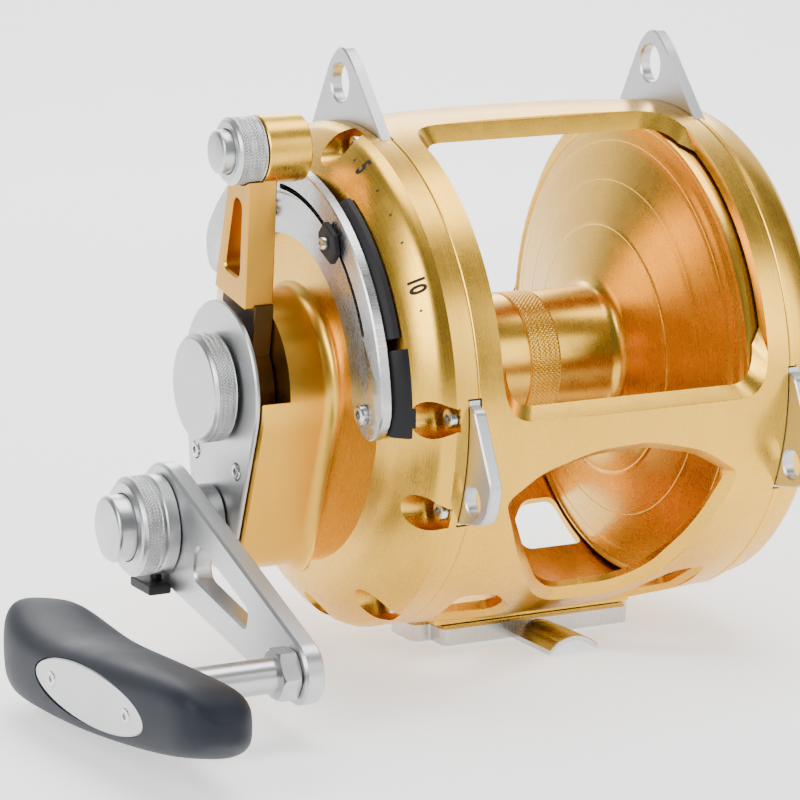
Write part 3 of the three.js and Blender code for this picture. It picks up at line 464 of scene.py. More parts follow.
def blasted_metal(name, color, roughness, grain_mm=0.25, depth=0.15, valley_painted_shade=0.4):
    """Bead-blasted and clear-anodised metal: an even fine grain with faint handling marks, a painted
    highlight on its edges and painted shade in its hollows.
    """
    s = Shader(name)
    grain = s.noise(s.place, 1 / (grain_mm * MM), 2.0, 0.7)
    cloud = s.noise(s.place, 45.0, 3.0, 0.6)
    streaks = s.noise(s.place, 260.0, 4.0, 0.7)
    edge = s.add("ShaderNodeNewGeometry").outputs["Pointiness"]
    shade = s.mix(s.remap(cloud, 0.3, 0.7, 0.0, 1.0), tint(color, 0.93), tint(color, 1.04))
    # painted highlight: convex edges lighter
    shade = s.mix(s.remap(edge, 0.52, 0.6, 0.0, 0.5), shade, tint(color, 1.2))
    # painted shade: concave valleys and creases darker, by the given strength
    shade = s.mix(s.remap(edge, 0.38, 0.49, valley_painted_shade, 0.0), shade, tint(color, 0.25))
    rough = s.remap(grain, 0.3, 0.7, roughness - 0.05, roughness + 0.06)
    rough = s.math("ADD", rough, s.remap(streaks, 0.55, 0.8, 0.0, 0.07))
    s.set(Base_Color=shade, Roughness=rough, Metallic=1.0, Normal=s.bump(grain, depth, 0.00003))
    return s.material


def brushed_metal(name, color, roughness, along=(1.0, 0.04, 0.04)):
    """Polished stainless with a directional grain."""
    s = Shader(name)
    scaled = s.add("ShaderNodeVectorMath", {0: s.place, 1: along}, operation="MULTIPLY").outputs[0]
    grain = s.noise(scaled, 2600.0, 3.0, 0.7)
    cloud = s.noise(s.place, 60.0, 4.0, 0.6)
    shade = s.mix(s.remap(cloud, 0.3, 0.7, 0.0, 1.0), tint(color, 0.85), tint(color, 1.08))
    shade = s.mix(s.remap(grain, 0.4, 0.6, 0.0, 0.3), shade, tint(color, 0.8))
    rough = s.remap(grain, 0.3, 0.7, roughness - 0.05, roughness + 0.08)
    rough = s.math("ADD", rough, s.remap(cloud, 0.5, 0.8, 0.0, 0.1))
    s.set(Base_Color=shade, Roughness=rough, Metallic=1.0, Normal=s.bump(grain, 0.15, 0.00002))
    return s.material


def moulded(name, color, roughness, grain_mm, depth, specular=0.25):
    """Moulded plastic or soft rubber with a fine pebble and a painted highlight on its convex edges
    and high spots.
    """
    s = Shader(name)
    pebble = s.add("ShaderNodeTexVoronoi", {"Vector": s.place, "Scale": 1 / (grain_mm * MM)})
    cells = pebble.outputs["Distance"]
    fine = s.noise(s.place, 1 / (0.4 * grain_mm * MM), 3.0, 0.6)
    height = s.math("ADD", cells, s.math("MULTIPLY", fine, 0.6))
    cloud = s.noise(s.place, 35.0, 4.0, 0.6)
    # painted highlight: convex edges and high spots lighter
    painted_edge_highlight = s.remap(s.add("ShaderNodeNewGeometry").outputs["Pointiness"], 0.51, 0.56, 0.0, 0.5)
    shade = s.mix(s.remap(cloud, 0.3, 0.7, 0.0, 1.0), tint(color, 0.85), tint(color, 1.18))
    shade = s.mix(painted_edge_highlight, shade, tint(color, 1.5))
    rough = s.remap(cloud, 0.3, 0.7, roughness - 0.06, roughness + 0.06)
    s.set(Base_Color=shade, Roughness=rough, Normal=s.bump(height, depth, 0.00005))
    s.surface.inputs["Specular IOR Level"].default_value = specular
    return s.material


def woven(name, color):
    """Carbon drag facing: a fine two-way weave."""
    s = Shader(name)
    waves = []
    for turn in (math.radians(45), math.radians(-45)):
        mapping = s.add("ShaderNodeMapping", {"Vector": s.place, "Rotation": (turn, 0.0, 0.0)})
        wave = s.add("ShaderNodeTexWave", {"Vector": mapping.outputs[0], "Scale": 160.0})
        wave.bands_direction = "Y"
        waves.append(wave.outputs["Fac"])
    height = s.math("MAXIMUM", waves[0], waves[1])
    shade = s.mix(height, tint(color, 0.6), tint(color, 1.6))
    s.set(Base_Color=shade, Roughness=s.remap(height, 0, 1, 0.7, 0.5))
    s.set(Normal=s.bump(height, 0.4, 0.0001))
    return s.material


GOLD = (0.78, 0.445, 0.052)
SILVER = (0.56, 0.565, 0.57)
STEEL = (0.62, 0.61, 0.60)

gold = turned_metal("gold_turned", GOLD, 0.27, 0.55)
gold_cone = turned_metal("gold_spool", GOLD, 0.27, 0.2, ring_mm=0.6, depth=0.015)
gold_plain = turned_metal("gold_milled", GOLD, 0.29, 0.1, ring_mm=1.4, depth=0.012)
silver = blasted_metal("silver_anodised", SILVER, 0.36)
silver_turned = turned_metal("silver_turned", SILVER, 0.30, 0.4, CRANK, 0.3)
# strong painted shade in the knurl valleys
knurl_metal = blasted_metal("silver_knurled", SILVER, 0.34, valley_painted_shade=0.9)
# darker, more orange copy of the gold for the lever arm: painted shade
gold_lever_painted_shade = turned_metal("gold_lever_painted_shade", (0.60, 0.30, 0.035), 0.29, 0.1, ring_mm=1.4, depth=0.012)
# near-black copy of the gold for the lever's hub and neck: painted shade standing in for the shadow
# inside the lever's slot
hub_painted_shade = turned_metal("hub_gold_painted_shade", (0.07, 0.04, 0.015), 0.45, 0.3)
stainless = brushed_metal("stainless_polished", STEEL, 0.24)
quadrant_steel = brushed_metal("quadrant_polished", (0.56, 0.555, 0.55), 0.26, (0.04, 1.0, 0.3))
bright = blasted_metal("screw_steel", (0.66, 0.66, 0.67), 0.22, 0.4, 0.1)
machined = brushed_metal("gear_steel", (0.50, 0.50, 0.51), 0.3)
black = moulded("black_plastic", (0.012, 0.012, 0.014), 0.5, 0.5, 0.15, 0.2)
rubber = moulded("grip_rubber", (0.014, 0.017, 0.024), 0.52, 0.35, 0.15, 0.18)
carbon = woven("drag_carbon", (0.03, 0.03, 0.032))
ink = moulded("black_ink", (0.015, 0.013, 0.012), 0.6, 0.3, 0.1)


# ---- frame

CROWN = ((-61, 89), (-50, 89.7), (-35, 90.5), (-18, 90.9), (0, 91), (18, 90.9), (35, 90.5),
         (50, 89.7), (61, 89))


def crown(x):
    return float(np.interp(x, [p[0] for p in CROWN], [p[1] for p in CROWN]))


def window_tool(outline, lean):
    """Cutter for a window. The outline is (x, degrees) at the bore; walls lean out to the surface."""
    centre = Vector((sum(p[0] for p in outline), sum(p[1] for p in outline))) / len(outline)
    per_mm = 180 / (math.pi * 90)

    def grown(distance):
        points = []
        for x, degrees in outline:
            away = Vector((x - centre.x, (degrees - centre.y) / per_mm)).normalized() * distance
            points.append((x + away.x, degrees + away.y * per_mm))
        return points

    def ring(points, depth):
        return [(x, *polar(crown(x) - depth, degrees)) for x, degrees in points]

    edge = grown(lean)
    rings = [
        ring(outline, 20), ring(outline, lean + 0.2), ring(grown(0.5), lean - 0.4),
        ring(grown(lean - 0.7), 0.6), ring(edge, -0.1), ring(edge, -110),
    ]
    return skin("window_tool", rings)


def mirrored(corners):
    return [(x, 180 - degrees, radius) for x, degrees, radius in reversed(corners)]


def frame_windows():
    upper = [(-47.5, 104.5, 9), (47.5, 104.5, 9), (47.5, 178.5, 9), (-47.5, 178.5, 9)]
    lens = [(-45, 201, 2.5), (-34, 195, 4), (-15, 191.5, 5), (4, 191, 5), (25, 194, 5),
            (40, 200, 2.5), (33, 214, 5), (23, 231, 5), (13, 237, 5), (-10, 237, 5),
            (-20, 231, 5), (-34, 216, 5)]
    corner = [(-50, 232, 3), (-37, 232, 4), (-26, 241, 4), (-26, 250, 3), (-50, 250, 3)]
    tail_corner = [(34, 232, 4), (47, 232, 3), (47, 250, 3), (23, 250, 3), (23, 241, 4)]
    for outline, lean in ((upper, 6), (lens, 3.4), (corner, 2.2), (tail_corner, 2.2)):
        for shape in (outline, mirrored(outline)):
            yield window_tool(rounded(shape, 8), lean)


def lug_seat(x0, x1, span):
    return prism("seat_tool", sector(82.2, 96, *span), x0, x1, 0)


def build_frame():
    outer = [(x, r) for x, r in CROWN]
    outer[0] = (-61, 88.6)
    outer.insert(1, (-60.6, 89))
    outer[-1] = (60.6, 89)
    outer.append((61, 88.6))
    profile = outer + [(61, 85), (-55.2, 85), (-55.2, 80.3), (-61, 80.3)]
    piece = lathe("barrel_frame", profile, sides=FRAME_SIDES, closed=True)
    pad = prism("pad", rectangle(-17, 17, FLAT_Z, -86.2), -40, 40)
    combine(piece, pad, "UNION")
    cut(piece, *frame_windows())
    cut(piece, prism("flat_tool", rectangle(-60, 60, -110, FLAT_Z), -56, 56, 0))
    for span in LUG_SPANS:
        cut(piece, lug_seat(out(-0.9), out(5), span), lug_seat(tail(-0.9), tail(5), span))
    turned_normals(piece, profile, closed=True)
    dress(piece, gold, "housing", "gold_anodised", "frame")


# ---- side plates

SHOULDER = flowing(outward(
    (8.5, 89), (12, 87.5), (15, 84.8), (18, 81.3), (20.5, 77.5), (23, 71.5), (25, 63.5),
))
DOME = outward((0, 80.5), (0, 88.6), (0.4, 89), (7, 89)) + SHOULDER + outward(
    (25, 6), (16, 6), (16, 40), (13.7, 75), (5.5, 75), (5.5, 80.5),
)


def screw_pocket(degrees):
    centre = polar(PLATE_SCREW_R, degrees)
    mouth_centre = polar(PLATE_SCREW_R + 12, degrees)
    well = rod("well", out(7), out(30), 6.3, centre, 0, 40)
    mouth = rod("mouth", out(10.2), out(30), 8.3, mouth_centre, 0, 40)
    return well, mouth


def build_crank_side_plate():
    dome = lathe("side_plate_dome", DOME, sides=FINE_SIDES)
    for degrees in PLATE_SCREW_ANGLES:
        cut(dome, *screw_pocket(degrees))
    cut(dome, *[lug_seat(out(-1), out(4.2), span) for span in LUG_SPANS])
    cut(dome, rod("shaft_bore", out(10), out(30), SHAFT_HOLE_R, CRANK))
    turned_normals(dome, DOME, closed=True, crease=11)
    dress(dome, gold, "housing", "gold_anodised", "crank_side_plate")
    build_boss()


def lever_slot():
    """Outline swept by the root of the lever, with a straight edge along it at each end."""
    first, last = polar(13.8, LEVER_MIN - 90), polar(13.8, LEVER_MAX + 90)
    start, end = polar(48, LEVER_MIN), polar(48, LEVER_MAX)
    points = [first, (first[0] + start[0], first[1] + start[1])]
    points += arc(52, LEVER_MIN, LEVER_MAX, 24)
    return points + [(last[0] + end[0], last[1] + end[1]), last]


def build_boss():
    outline = keyhole((0, 0), BOSS_R, CRANK, BOSS_TIP_R)
    levels = [
        (24.6, 3.4), (25.05, 3.3), (25.3, 2.5), (25.8, 1.7), (26.5, 1.1), (27.4, 0.6), (28.4, 0.25),
        (29.6, 0.05), (51.4, 0.0), (52, -0.6),
    ]
    rings = [[(out(d), y, z) for y, z in inset(outline, -g)] for d, g in levels]
    boss = skin("gear_boss", rings, 40)
    cut(
        boss,
        prism("slot", lever_slot(), out(SLOT_FLOOR), out(60), 0),
        rod("hub_bore", out(SLOT_FLOOR), out(60), 20.6),
        rod("cam_bore", out(20), out(60), 15),
        rod("shaft_bore", out(20), out(60), SHAFT_HOLE_R, CRANK),
    )
    dress(boss, gold_plain, "housing", "gold_anodised")


TAIL_PROFILE = tailward(
    (0, 80), (0, 88.6), (0.4, 89), (2, 89), (2.6, 86.3), (11.4, 86.3), (12.6, 85.7),
    (14.2, 84.3), (15.8, 82.2), (17.4, 78), (18.6, 73), (19.5, 67), (20, 60), (20, 41),
    (20.6, 39.6), (22.4, 37), (23.1, 35), (24, 17), (24, 0),
)


def build_tail_side_plate():
    inner = tailward((19, 0), (19, 5.4), (8, 5.4), (8, 12), (15, 12), (15, 60), (13, 72), (9, 80))
    plate = lathe("tail_plate", TAIL_PROFILE + inner, sides=FINE_SIDES, closed=True)
    for degrees in TAIL_SCREW_ANGLES:
        cut(plate, rod("well", tail(3), tail(20), 2.9, polar(TAIL_SCREW_R, degrees)))
    cut(plate, *[lug_seat(tail(-1), tail(4.2), span) for span in LUG_SPANS])
    slot = rounded([(-2.6, 28.4, 2.4), (2.6, 28.4, 2.4), (2.6, 38.8, 2.4), (-2.6, 38.8, 2.4)])
    cut(plate, prism("slot", slot, tail(10), tail(30), 0))
    turned_normals(plate, TAIL_PROFILE)
    dress(plate, gold, "housing", "gold_anodised", "tail_side_plate")


# ---- lugs and foot

def build_lugs():
    top = [(-24.3, 85.3, 0), (31.2, 82.9, 0), (14.5, 110, 4.5), (6.2, 115.6, 4.5), (-2, 110, 4.5)]
    front = [(-86.5, 5.5, 0), (-92.5, 3, 1.5), (-104.5, -21, 3), (-100, -34.5, 7), (-79.5, -37.3, 0)]
    kinds = (("top", top, (7.2, 101.8), 6.75), ("front", front, (-91.5, -27.5), 5))
    for side, x0 in (("crank", out(3.9)), ("tail", tail(-0.6))):
        for kind, corners, hole, radius in kinds:
            span = LUG_SPANS[0] if kind == "top" else LUG_SPANS[1]
            ear = prism(f"{kind}_lug_plate_{side}", rounded(corners, 8), x0, x0 + LUG_THICKNESS, 0.5)
            foot = sector(82.5, 88.8, span[0] + 0.4, span[1] - 0.4)
            base = prism("base", foot, x0, x0 + LUG_THICKNESS, 0.3)
            combine(ear, base, "UNION")
            hole_tool = rod("hole", x0 - 1, x0 + 6, radius, hole)
            flares = []
            for face, way in ((x0, -1), (x0 + LUG_THICKNESS, 1)):
                deep, proud = face - way * 0.6, face + way * 0.4
                flare = [(deep, 0), (deep, radius), (proud, radius + 1), (proud, 0)]
                flares.append(lathe("flare", flare, hole, 48))
            cut(ear, hole_tool, *flares)
            dress(ear, silver, "housing", "silver_anodised", f"{kind}_lug_{side}_side")


def build_foot():
    corners = [
        (-45, -10, 5), (-38, -10, 1), (-38, -20, 3), (38, -20, 3), (38, -10, 1), (45, -10, 5),
        (45, 10, 5), (38, 10, 1), (38, 20, 3), (-38, 20, 3), (-38, 10, 1), (-45, 10, 5),
    ]
    outline = rounded(corners, 8)
    small = inset(outline, 0.7)
    levels = [(-98, inset(outline, 0.4)), (-97.6, outline), (-91.9, outline), (-91.0, small)]
    plate = skin("foot_plate", [[(x, y, z) for x, y in points] for z, points in levels])
    half, rise, thick = 10.0, 4.2, 1.8

    def arch(y, edge):
        points = []
        for i in range(25):
            t = i / 12 - 1
            points.append((t * (half - edge), y, -98 + rise * (1 - t * t) + edge * 0.5))
        for i in range(25):
            t = 1 - i / 12
            points.append((t * (half - edge), y, -98 + thick + rise * (1 - t * t) - edge * 0.5))
        return points

    rings = [arch(-47, 0.35), arch(-46.6, 0), arch(46.6, 0), arch(47, 0.35)]
    tongues = skin("tongues", rings)
    combine(plate, tongues, "UNION")
    wells = []
    turns = np.linspace(0, 2 * math.pi, 33)[:-1]
    for x in (-30, 30):
        wells.append(skin("well", [
            [(x + 4.8 * math.cos(a), 4.8 * math.sin(a), z) for a in turns] for z in (-99, -95)
        ]))
    cut(plate, *wells)
    dress(plate, stainless, "housing", "polished_stainless", "reel_foot")


# ---- spool and knurls

def knurl(x0, x1, count, pitch, depth):
    """Radius change of a diamond knurl between two stations."""
    low, high = min(x0, x1), max(x0, x1)

    def wave(t):
        return abs(2 * (t - math.floor(t)) - 1)

    def ripple(x, radius, angle):
        if not low < x < high:
            return 0
        turn = angle * count / 360
        return -depth * max(wave(turn + x / pitch), wave(turn - x / pitch))

    return ripple


def spread(x0, x1, radius, steps):
    return [(x0 + (x1 - x0) * i / steps, radius) for i in range(steps + 1)]


def inside(distance):
    return -HALF_WIDTH + distance


def inward(*points):
    return [(inside(distance), radius) for distance, radius in points]


def flange_face(hub, rim, grooves, steps=40):
    """Cone from the hub to the rim of a flange, with fine turned grooves."""
    points = []
    for i in range(steps + 1):
        t = i / steps
        points.append((hub[0] + (rim[0] - hub[0]) * t, hub[1] + (rim[1] - hub[1]) * t))
    for groove in grooves:
        t = (groove - hub[1]) / (rim[1] - hub[1])
        x = hub[0] + (rim[0] - hub[0]) * t
        into = 0.06 if rim[0] > hub[0] else -0.06
        points += [(x, groove - 0.3), (x + into, groove), (x, groove + 0.3)]
    return sorted(points, key=lambda p: p[1])


def build_spool():
    far = flange_face((inside(93.5), 27), (inside(107.6), 79.6), (45, 61, 75))
    near = flange_face((inside(28.5), 27), (inside(13.4), 79.6), (45, 61, 75))
    profile = inward((6.5, 80), (6.5, 83.4), (6.9, 83.8), (10, 83.8), (11, 83.2), (12.2, 81.2))
    profile += list(reversed(near))
    profile += inward((29.6, 25.2), (31, 24.1), (33, 23.5), (55.6, 23.5))
    profile += inward((67.9 + 0.4, 23.5), (89, 23.5), (91, 24.1), (92.4, 25.2))
    profile += far
    profile += inward(
        (108.2, 80.6), (108.4, 81.4), (107.9, 82.4), (108.2, 83.4), (109, 83.8), (113.6, 83.8),
        (114, 83.4), (114, 80.5), (111, 79), (97, 30), (97, 15), (118, 15), (118, 11),
        (112.4, 11), (112.4, 5.3), (14, 5.3), (14, 11), (8.5, 11), (8.5, 78),
    )
    spool = lathe("spool_body", profile, sides=FINE_SIDES, closed=True)
    turned_normals(spool, profile, closed=True)
    dress(spool, gold_cone, "spool_group", "gold_anodised", "spool")
    x0, x1 = inside(55.8), inside(68.1)
    band = [(x0, 23.0), (x0, 23.6)] + spread(x0 + 0.25, x1 - 0.25, 23.9, 36) + [(x1, 23.6), (x1, 23.0)]
    ripple = knurl(x0 + 0.3, x1 - 0.3, 96, 1.55, 0.3)
    grip_band = lathe("arbor_band", band, sides=384, closed=True, smooth=14, ripple=ripple)
    dress(grip_band, gold_plain, "spool_group", "gold_anodised")


# ---- screws

def cap_screw(name, head, tip, head_r, head_length, shank_r, centre, body, node=None, slotted=False):
    """A cap screw along X with a rounded rim and a hex socket or a slot."""
    way = math.copysign(1, tip - head)
    under = head + way * head_length
    profile = [
        (head, 0), (head, head_r - 0.55), (head + way * 0.15, head_r - 0.2),
        (head + way * 0.5, head_r), (under, head_r), (under, shank_r), (tip, shank_r * 0.9), (tip, 0),
    ]
    screw = lathe(name, profile, centre, 40)
    deep = head + way * head_length * 0.55
    if slotted:
        y, z = centre
        w = 0.45
        slot = rectangle(y - head_r - 1, y + head_r + 1, z - w, z + w)
        tool = prism("slot", slot, head - way, deep, 0)
    else:
        tool = rod("socket", head - way, deep, head_r * 0.5, centre, 0, 6)
    cut(screw, tool)
    return dress(screw, bright, body, "screw_steel", *([node] if node else []))


COVER_SCREWS = ((20.3, -26.2), (-13.3, -27.6))
QUADRANT_SCREWS = (polar(61, 181), polar(60, 80))


def build_screws():
    for i, degrees in enumerate(PLATE_SCREW_ANGLES, 1):
        centre = polar(PLATE_SCREW_R, degrees)
        cap_screw(f"side_screw_{i}", out(9.6), out(-4), 3.4, 2.3, 1.5, centre, "housing",
                  f"plate_screw_{i}")
    for i, degrees in enumerate(TAIL_SCREW_ANGLES, 1):
        centre = polar(TAIL_SCREW_R, degrees)
        cap_screw(f"end_screw_{i}", tail(5.8), tail(-6), 2, 2.4, 1, centre, "housing",
                  f"tail_screw_{i}")
    for i, centre in enumerate(COVER_SCREWS, 1):
        cap_screw(f"lid_screw_{i}", out(54.8), out(45), 2.8, 1.4, 1.5, centre, "housing",
                  f"cover_screw_{i}")
    for i, centre in enumerate(QUADRANT_SCREWS, 1):
        cap_screw(f"arc_screw_{i}", out(31.2), out(20.5), 3.4, 2.3, 2, centre, "housing",
                  f"quadrant_screw_{i}")
    for i, along in enumerate((-23.5, 27.5), 1):
        on_grip_face(cap_screw(f"grip_screw_{i}", -1.8, -0.5, 2.7, 0.9, 1.2, (along, 0.6), "grip"))


# ---- cover and quadrant

def build_cover():
    outline = keyhole((0, 0), BOSS_R - 1.2, CRANK, BOSS_TIP_R - 1.2)
    cover = prism("keyhole_cover", outline, out(52.3), out(54.1), 0.5)
    tools = [rod("bore", out(51), out(56), 7.8), rod("bore", out(51), out(56), SHAFT_HOLE_R, CRANK)]
    tools += [rod("seat", out(53.1), out(56), 3.3, centre) for centre in COVER_SCREWS]
    cut(cover, *tools)
    dress(cover, silver, "housing", "silver_anodised", "gear_cover")


def build_quadrant():
    faces = out(QUADRANT_BACK), out(QUADRANT_FACE)
    band = prism("quadrant_plate", arc_band(51.5, 77, 38, 177), *faces, 0.5)
    end = rounded([(-52, 8, 2), (-76.5, 8, 2), (-73.5, -6, 5), (-62, -9, 5), (-52, -3, 5)], 8)
    combine(band, prism("end", end, *faces, 0.5), "UNION")
    dish_profile = outward(
        (28.7, 40), (31.6, 40), (31.6, 68.4), (30.3, 67.6), (29.9, 66.6), (28.7, 65.2),
    )
    dish = lathe("dish", dish_profile, sides=FINE_SIDES, closed=True)
    slot = prism("slot", arc_band(67.2, 69.2, 90, 157), out(25), out(32), 0)
    holes = [rod("hole", out(25), out(32), 2.3, centre) for centre in QUADRANT_SCREWS]
    cut(band, dish, slot, *holes)
    dress(band, quadrant_steel, "housing", "polished_stainless", "drag_quadrant")
    build_backing()


def build_backing():
    """The black seal behind the quadrant, its side strip and the block at its lower end."""
    seal = prism("quadrant_seal", sector(64, 75, 44, 162, 60), out(25.3), out(25.9), 0.1)
    dress(seal, black, "housing", "black_plastic", "quadrant_backing")
    block = prism("quadrant_end_block", sector(62.5, 90, 163, 185), out(30), out(18.5), 0)
    slope = outward(
        (25.9, 0), (25.9, 74.6), (25.3, 75.8), (21.8, 78.4), (21, 78.8), (18.5, 78.8), (18.5, 0),
    )
    combine(block, lathe("slope", slope, sides=FINE_SIDES), "INTERSECT")
    dress(soften(block, 32), black, "housing", "black_plastic")
    strip = prism("quadrant_strip", sector(70, 90, 118, 160, 60), out(30), out(21), 0)
    slope = outward((25.9, 0), (25.9, 75.2), (25.3, 76), (23.4, 77.4), (21.4, 77.4), (21.4, 0))
    combine(strip, lathe("slope", slope, sides=FINE_SIDES), "INTERSECT")
    dress(soften(strip, 32), black, "housing", "black_plastic")


def build_strike_stop():
    centre = polar(STOP_R, STOP_ANGLE)
    outline = []
    for away, around in ((-6, -2.5), (-1.5, -7), (4.5, -6), (5.5, 2), (1.5, 7), (-4, 6.5)):
        spot = polar(STOP_R + away, STOP_ANGLE)
        side = polar(around, STOP_ANGLE + 90)
        outline.append((spot[0] + side[0], spot[1] + side[1], 1))
    block = prism("stop_block", rounded(outline, 5), out(30.5), out(33.1), 0.6)
    dress(block, black, "strike_stop", "black_plastic", "strike_stop")
    cap_screw("stop_screw", out(35), out(31.9), 2.2, 1.6, 0.8, centre, "strike_stop",
              "strike_stop_screw", slotted=True)


# ---- drag lever

def at_lever(piece):
    """Turns a piece drawn straight up to the lever's rest angle."""
    pivot = Matrix.Translation((0, 0, AXIS_HEIGHT * MM))
    turn = Matrix.Rotation(math.radians(LEVER_ANGLE - 90), 4, "X")
    piece.data.transform(pivot @ turn @ pivot.inverted())
    return piece


BARREL = (0, 85.9)


def build_lever():
    hub = rod("lever_hub", out(LEVER_BACK), out(HUB_FACE), 20.2, (0, 0), 0.4, 96)
    neck = prism("neck", rectangle(-13, 13, 0, 34), out(LEVER_BACK), out(HUB_FACE), 0.3)
    arm_outline = rounded([(-12.3, 32.6, 1), (12.3, 32.6, 1), (7.4, 80, 1), (-7.4, 80, 1)], 4)
    arm = prism("lever_arm", arm_outline, out(LEVER_BACK), out(LEVER_FACE), 0.6)
    cut(arm, rod("seat", out(47.5), out(60), 12, BARREL))
    slot = rounded([(-6.4, 42, 3.4), (6.4, 42, 3.4), (3.7, 68.5, 3.2), (-3.7, 68.5, 3.2)], 8)
    wide = inset(slot, -0.8)
    slot_tool = skin("slot", [
        [(out(d), y, z) for y, z in points]
        for d, points in ((40, slot), (52.4, slot), (53.3, wide), (55, wide))
    ])
    cut(arm, slot_tool)
    combine(hub, neck, "UNION")
    cut(hub, rod("bore", out(30), out(60), 5.3))
    # hub and neck wear the near-black painted shade of the slot's shadow
    dress(at_lever(hub), hub_painted_shade, "lever", "gold_anodised")
    dress(at_lever(arm), gold_lever_painted_shade, "lever", "gold_anodised", "drag_lever")
    barrel = lathe("lever_barrel", outward(
        (31.6, 0), (31.6, 11.1), (32.2, 11.7), (47.1, 11.7), (47.5, 11.3), (47.5, 4.4),
        (44, 4.4), (44, 0),
    ), BARREL, 96)
    groove = outward((30, 60), (30, 76.2), (33, 76.2), (33, 60))
    cut(barrel, lathe("groove", groove, sides=FINE_SIDES))
    dress(at_lever(barrel), lever_gold, "lever", "gold_anodised")
    rim = [(out(47.8), 4.3), (out(47.8), 11.0), (out(48.2), 11.5)]
    rim += spread(out(48.4), out(57.4), 11.6, 32)
    rim += outward((57.7, 11.2), (58.3, 10.7), (58.6, 10.1), (58.6, 7.9), (52.9, 7.9), (52.9, 4.3))
    ripple = knurl(out(48.4), out(57.4), 62, KNURL_PITCH, KNURL_DEPTH)
    collar = lathe("knurled_collar", rim, BARREL, 310, True, 14, ripple)
    dress(at_lever(collar), knurl_metal, "lever", "silver_anodised", "lever_collar")
    button = lathe("push_button", outward(
        (46.5, 0), (46.5, 4), (55.2, 4), (55.2, 7.5), (61.4, 7.5), (62.1, 7.25), (62.6, 6.7),
        (62.8, 5.9), (62.8, 0),
    ), BARREL, 96)
    dress(at_lever(button), silver, "lever_button", "silver_anodised", "lever_button")


lever_turn = math.radians(LEVER_ANGLE - 90)
LEVER_BARREL_AT = (-85.9 * math.sin(lever_turn), 85.9 * math.cos(lever_turn))
lever_gold = turned_metal("gold_barrel", GOLD, 0.27, 0.4, LEVER_BARREL_AT, 0.3)


def build_preset_knob():
    rim = outward(
        (49.9, 0), (49.9, 7.4), (54.4, 7.4), (54.4, 12), (55.2, 12), (55.2, 18.0), (55.7, 18.6),
    )
    rim += spread(out(56), out(62.6), 19, 24)
    rim += outward((62.9, 18.6), (63.7, 17.9), (64, 17.3), (64, 0))
    ripple = knurl(out(56), out(62.6), 100, KNURL_PITCH, KNURL_DEPTH)
    knob = lathe("preset_dial", rim, (0, 0), 500, False, 14, ripple)
    dress(knob, knurl_metal, "preset_knob", "silver_anodised", "preset_knob")


# ---- crank

def along_arm(distance, aside):
    reach = Vector(GRIP) - Vector(CRANK)
    way = reach.normalized()
    side = Vector((-way.y, way.x))
    return tuple(Vector(CRANK) + way * distance + side * aside)


def build_crank():
    shaft = lathe("crank_collar", outward(
        (0.6, 0), (0.6, 8), (54.5, 8), (54.5, 11.4), (55.1, 12), (65.9, 12), (66.5, 11.4),
        (66.5, 7), (74, 7), (74, 0),
    ), CRANK, 96)
    dress(shaft, silver_turned, "crank", "silver_anodised", "crank_shaft")
    arm = prism("crank_handle_arm", keyhole(CRANK, 21, GRIP, 11), out(ARM_BACK), out(ARM_FRONT), 0.9)
    slot_corners = [(*along_arm(28.5, 6.6), 5), (*along_arm(28.5, -6.6), 5),
                    (*along_arm(71.5, -3.4), 2.5), (*along_arm(71.5, 3.4), 2.5)]
    slot = rounded(slot_corners, 8)
    flare = inset(slot, -0.9)
    tool = skin("slot", [
        [(out(d), y, z) for y, z in points]
        for d, points in ((64, flare), (66.8, flare), (67.7, slot), (72.9, slot), (73.9, flare),
                          (76, flare))
    ])
    cut(arm, tool, rod("bore", out(60), out(80), 7.3, CRANK), rod("bore", out(60), out(80), 5, GRIP))
    dress(arm, silver, "crank", "silver_anodised", "crank_arm")
    knurled = spread(out(80.4), out(86.2), 17.4, 20)
    cap_profile = outward(
        (74.1, 4), (74.1, 17.0), (74.5, 17.5), (78.6, 17.5), (79, 17.1), (79.3, 16.6),
        (79.9, 16.6), (80.2, 17),
    )
    cap_profile += knurled
    cap_profile += outward((86.5, 17), (87.4, 16.2), (88, 15.3), (88, 12.1), (78, 12.1), (78, 4))
    ripple = knurl(out(80.4), out(86.2), 92, KNURL_PITCH, KNURL_DEPTH)
    cap = lathe("knurled_cap", cap_profile, CRANK, 460, True, 14, ripple)
    y, z = CRANK
    hole = rectangle(y - 2.8, y + 2.8, z - 24, z - 12.2)
    cut(cap, prism("hole", hole, out(74.9), out(77.8), 0), smooth=14)
    dress(cap, knurl_metal, "crank", "silver_anodised", "crank_cap")
    button = lathe("gear_button", outward(
        (77.4, 0), (77.4, 3.7), (82, 3.7), (82, 11.7), (93.1, 11.7), (93.9, 11.4), (94.5, 10.8),
        (94.7, 10.0), (94.7, 0),
    ), CRANK, 96)
    dress(button, silver_turned, "shift_button", "silver_anodised", "shift_button")
    stem = rectangle(y - 2.5, y + 2.5, z - 20, z - 12.5)
    tab = prism("release_tab", stem, out(75.2), out(77.5), 0.2)
    foot = rounded([(y - 8.5, z - 23.4, 1), (y + 8.5, z - 23.4, 1), (y + 8.5, z - 19.6, 1),
                    (y - 8.5, z - 19.6, 1)], 5)
    combine(tab, prism("tab_foot", foot, out(74.2), out(82.5), 0.5), "UNION")
    soften(tab, 32)
    dress(tab, black, "gear_release_tab", "black_plastic", "gear_release_tab")
    build_shank()


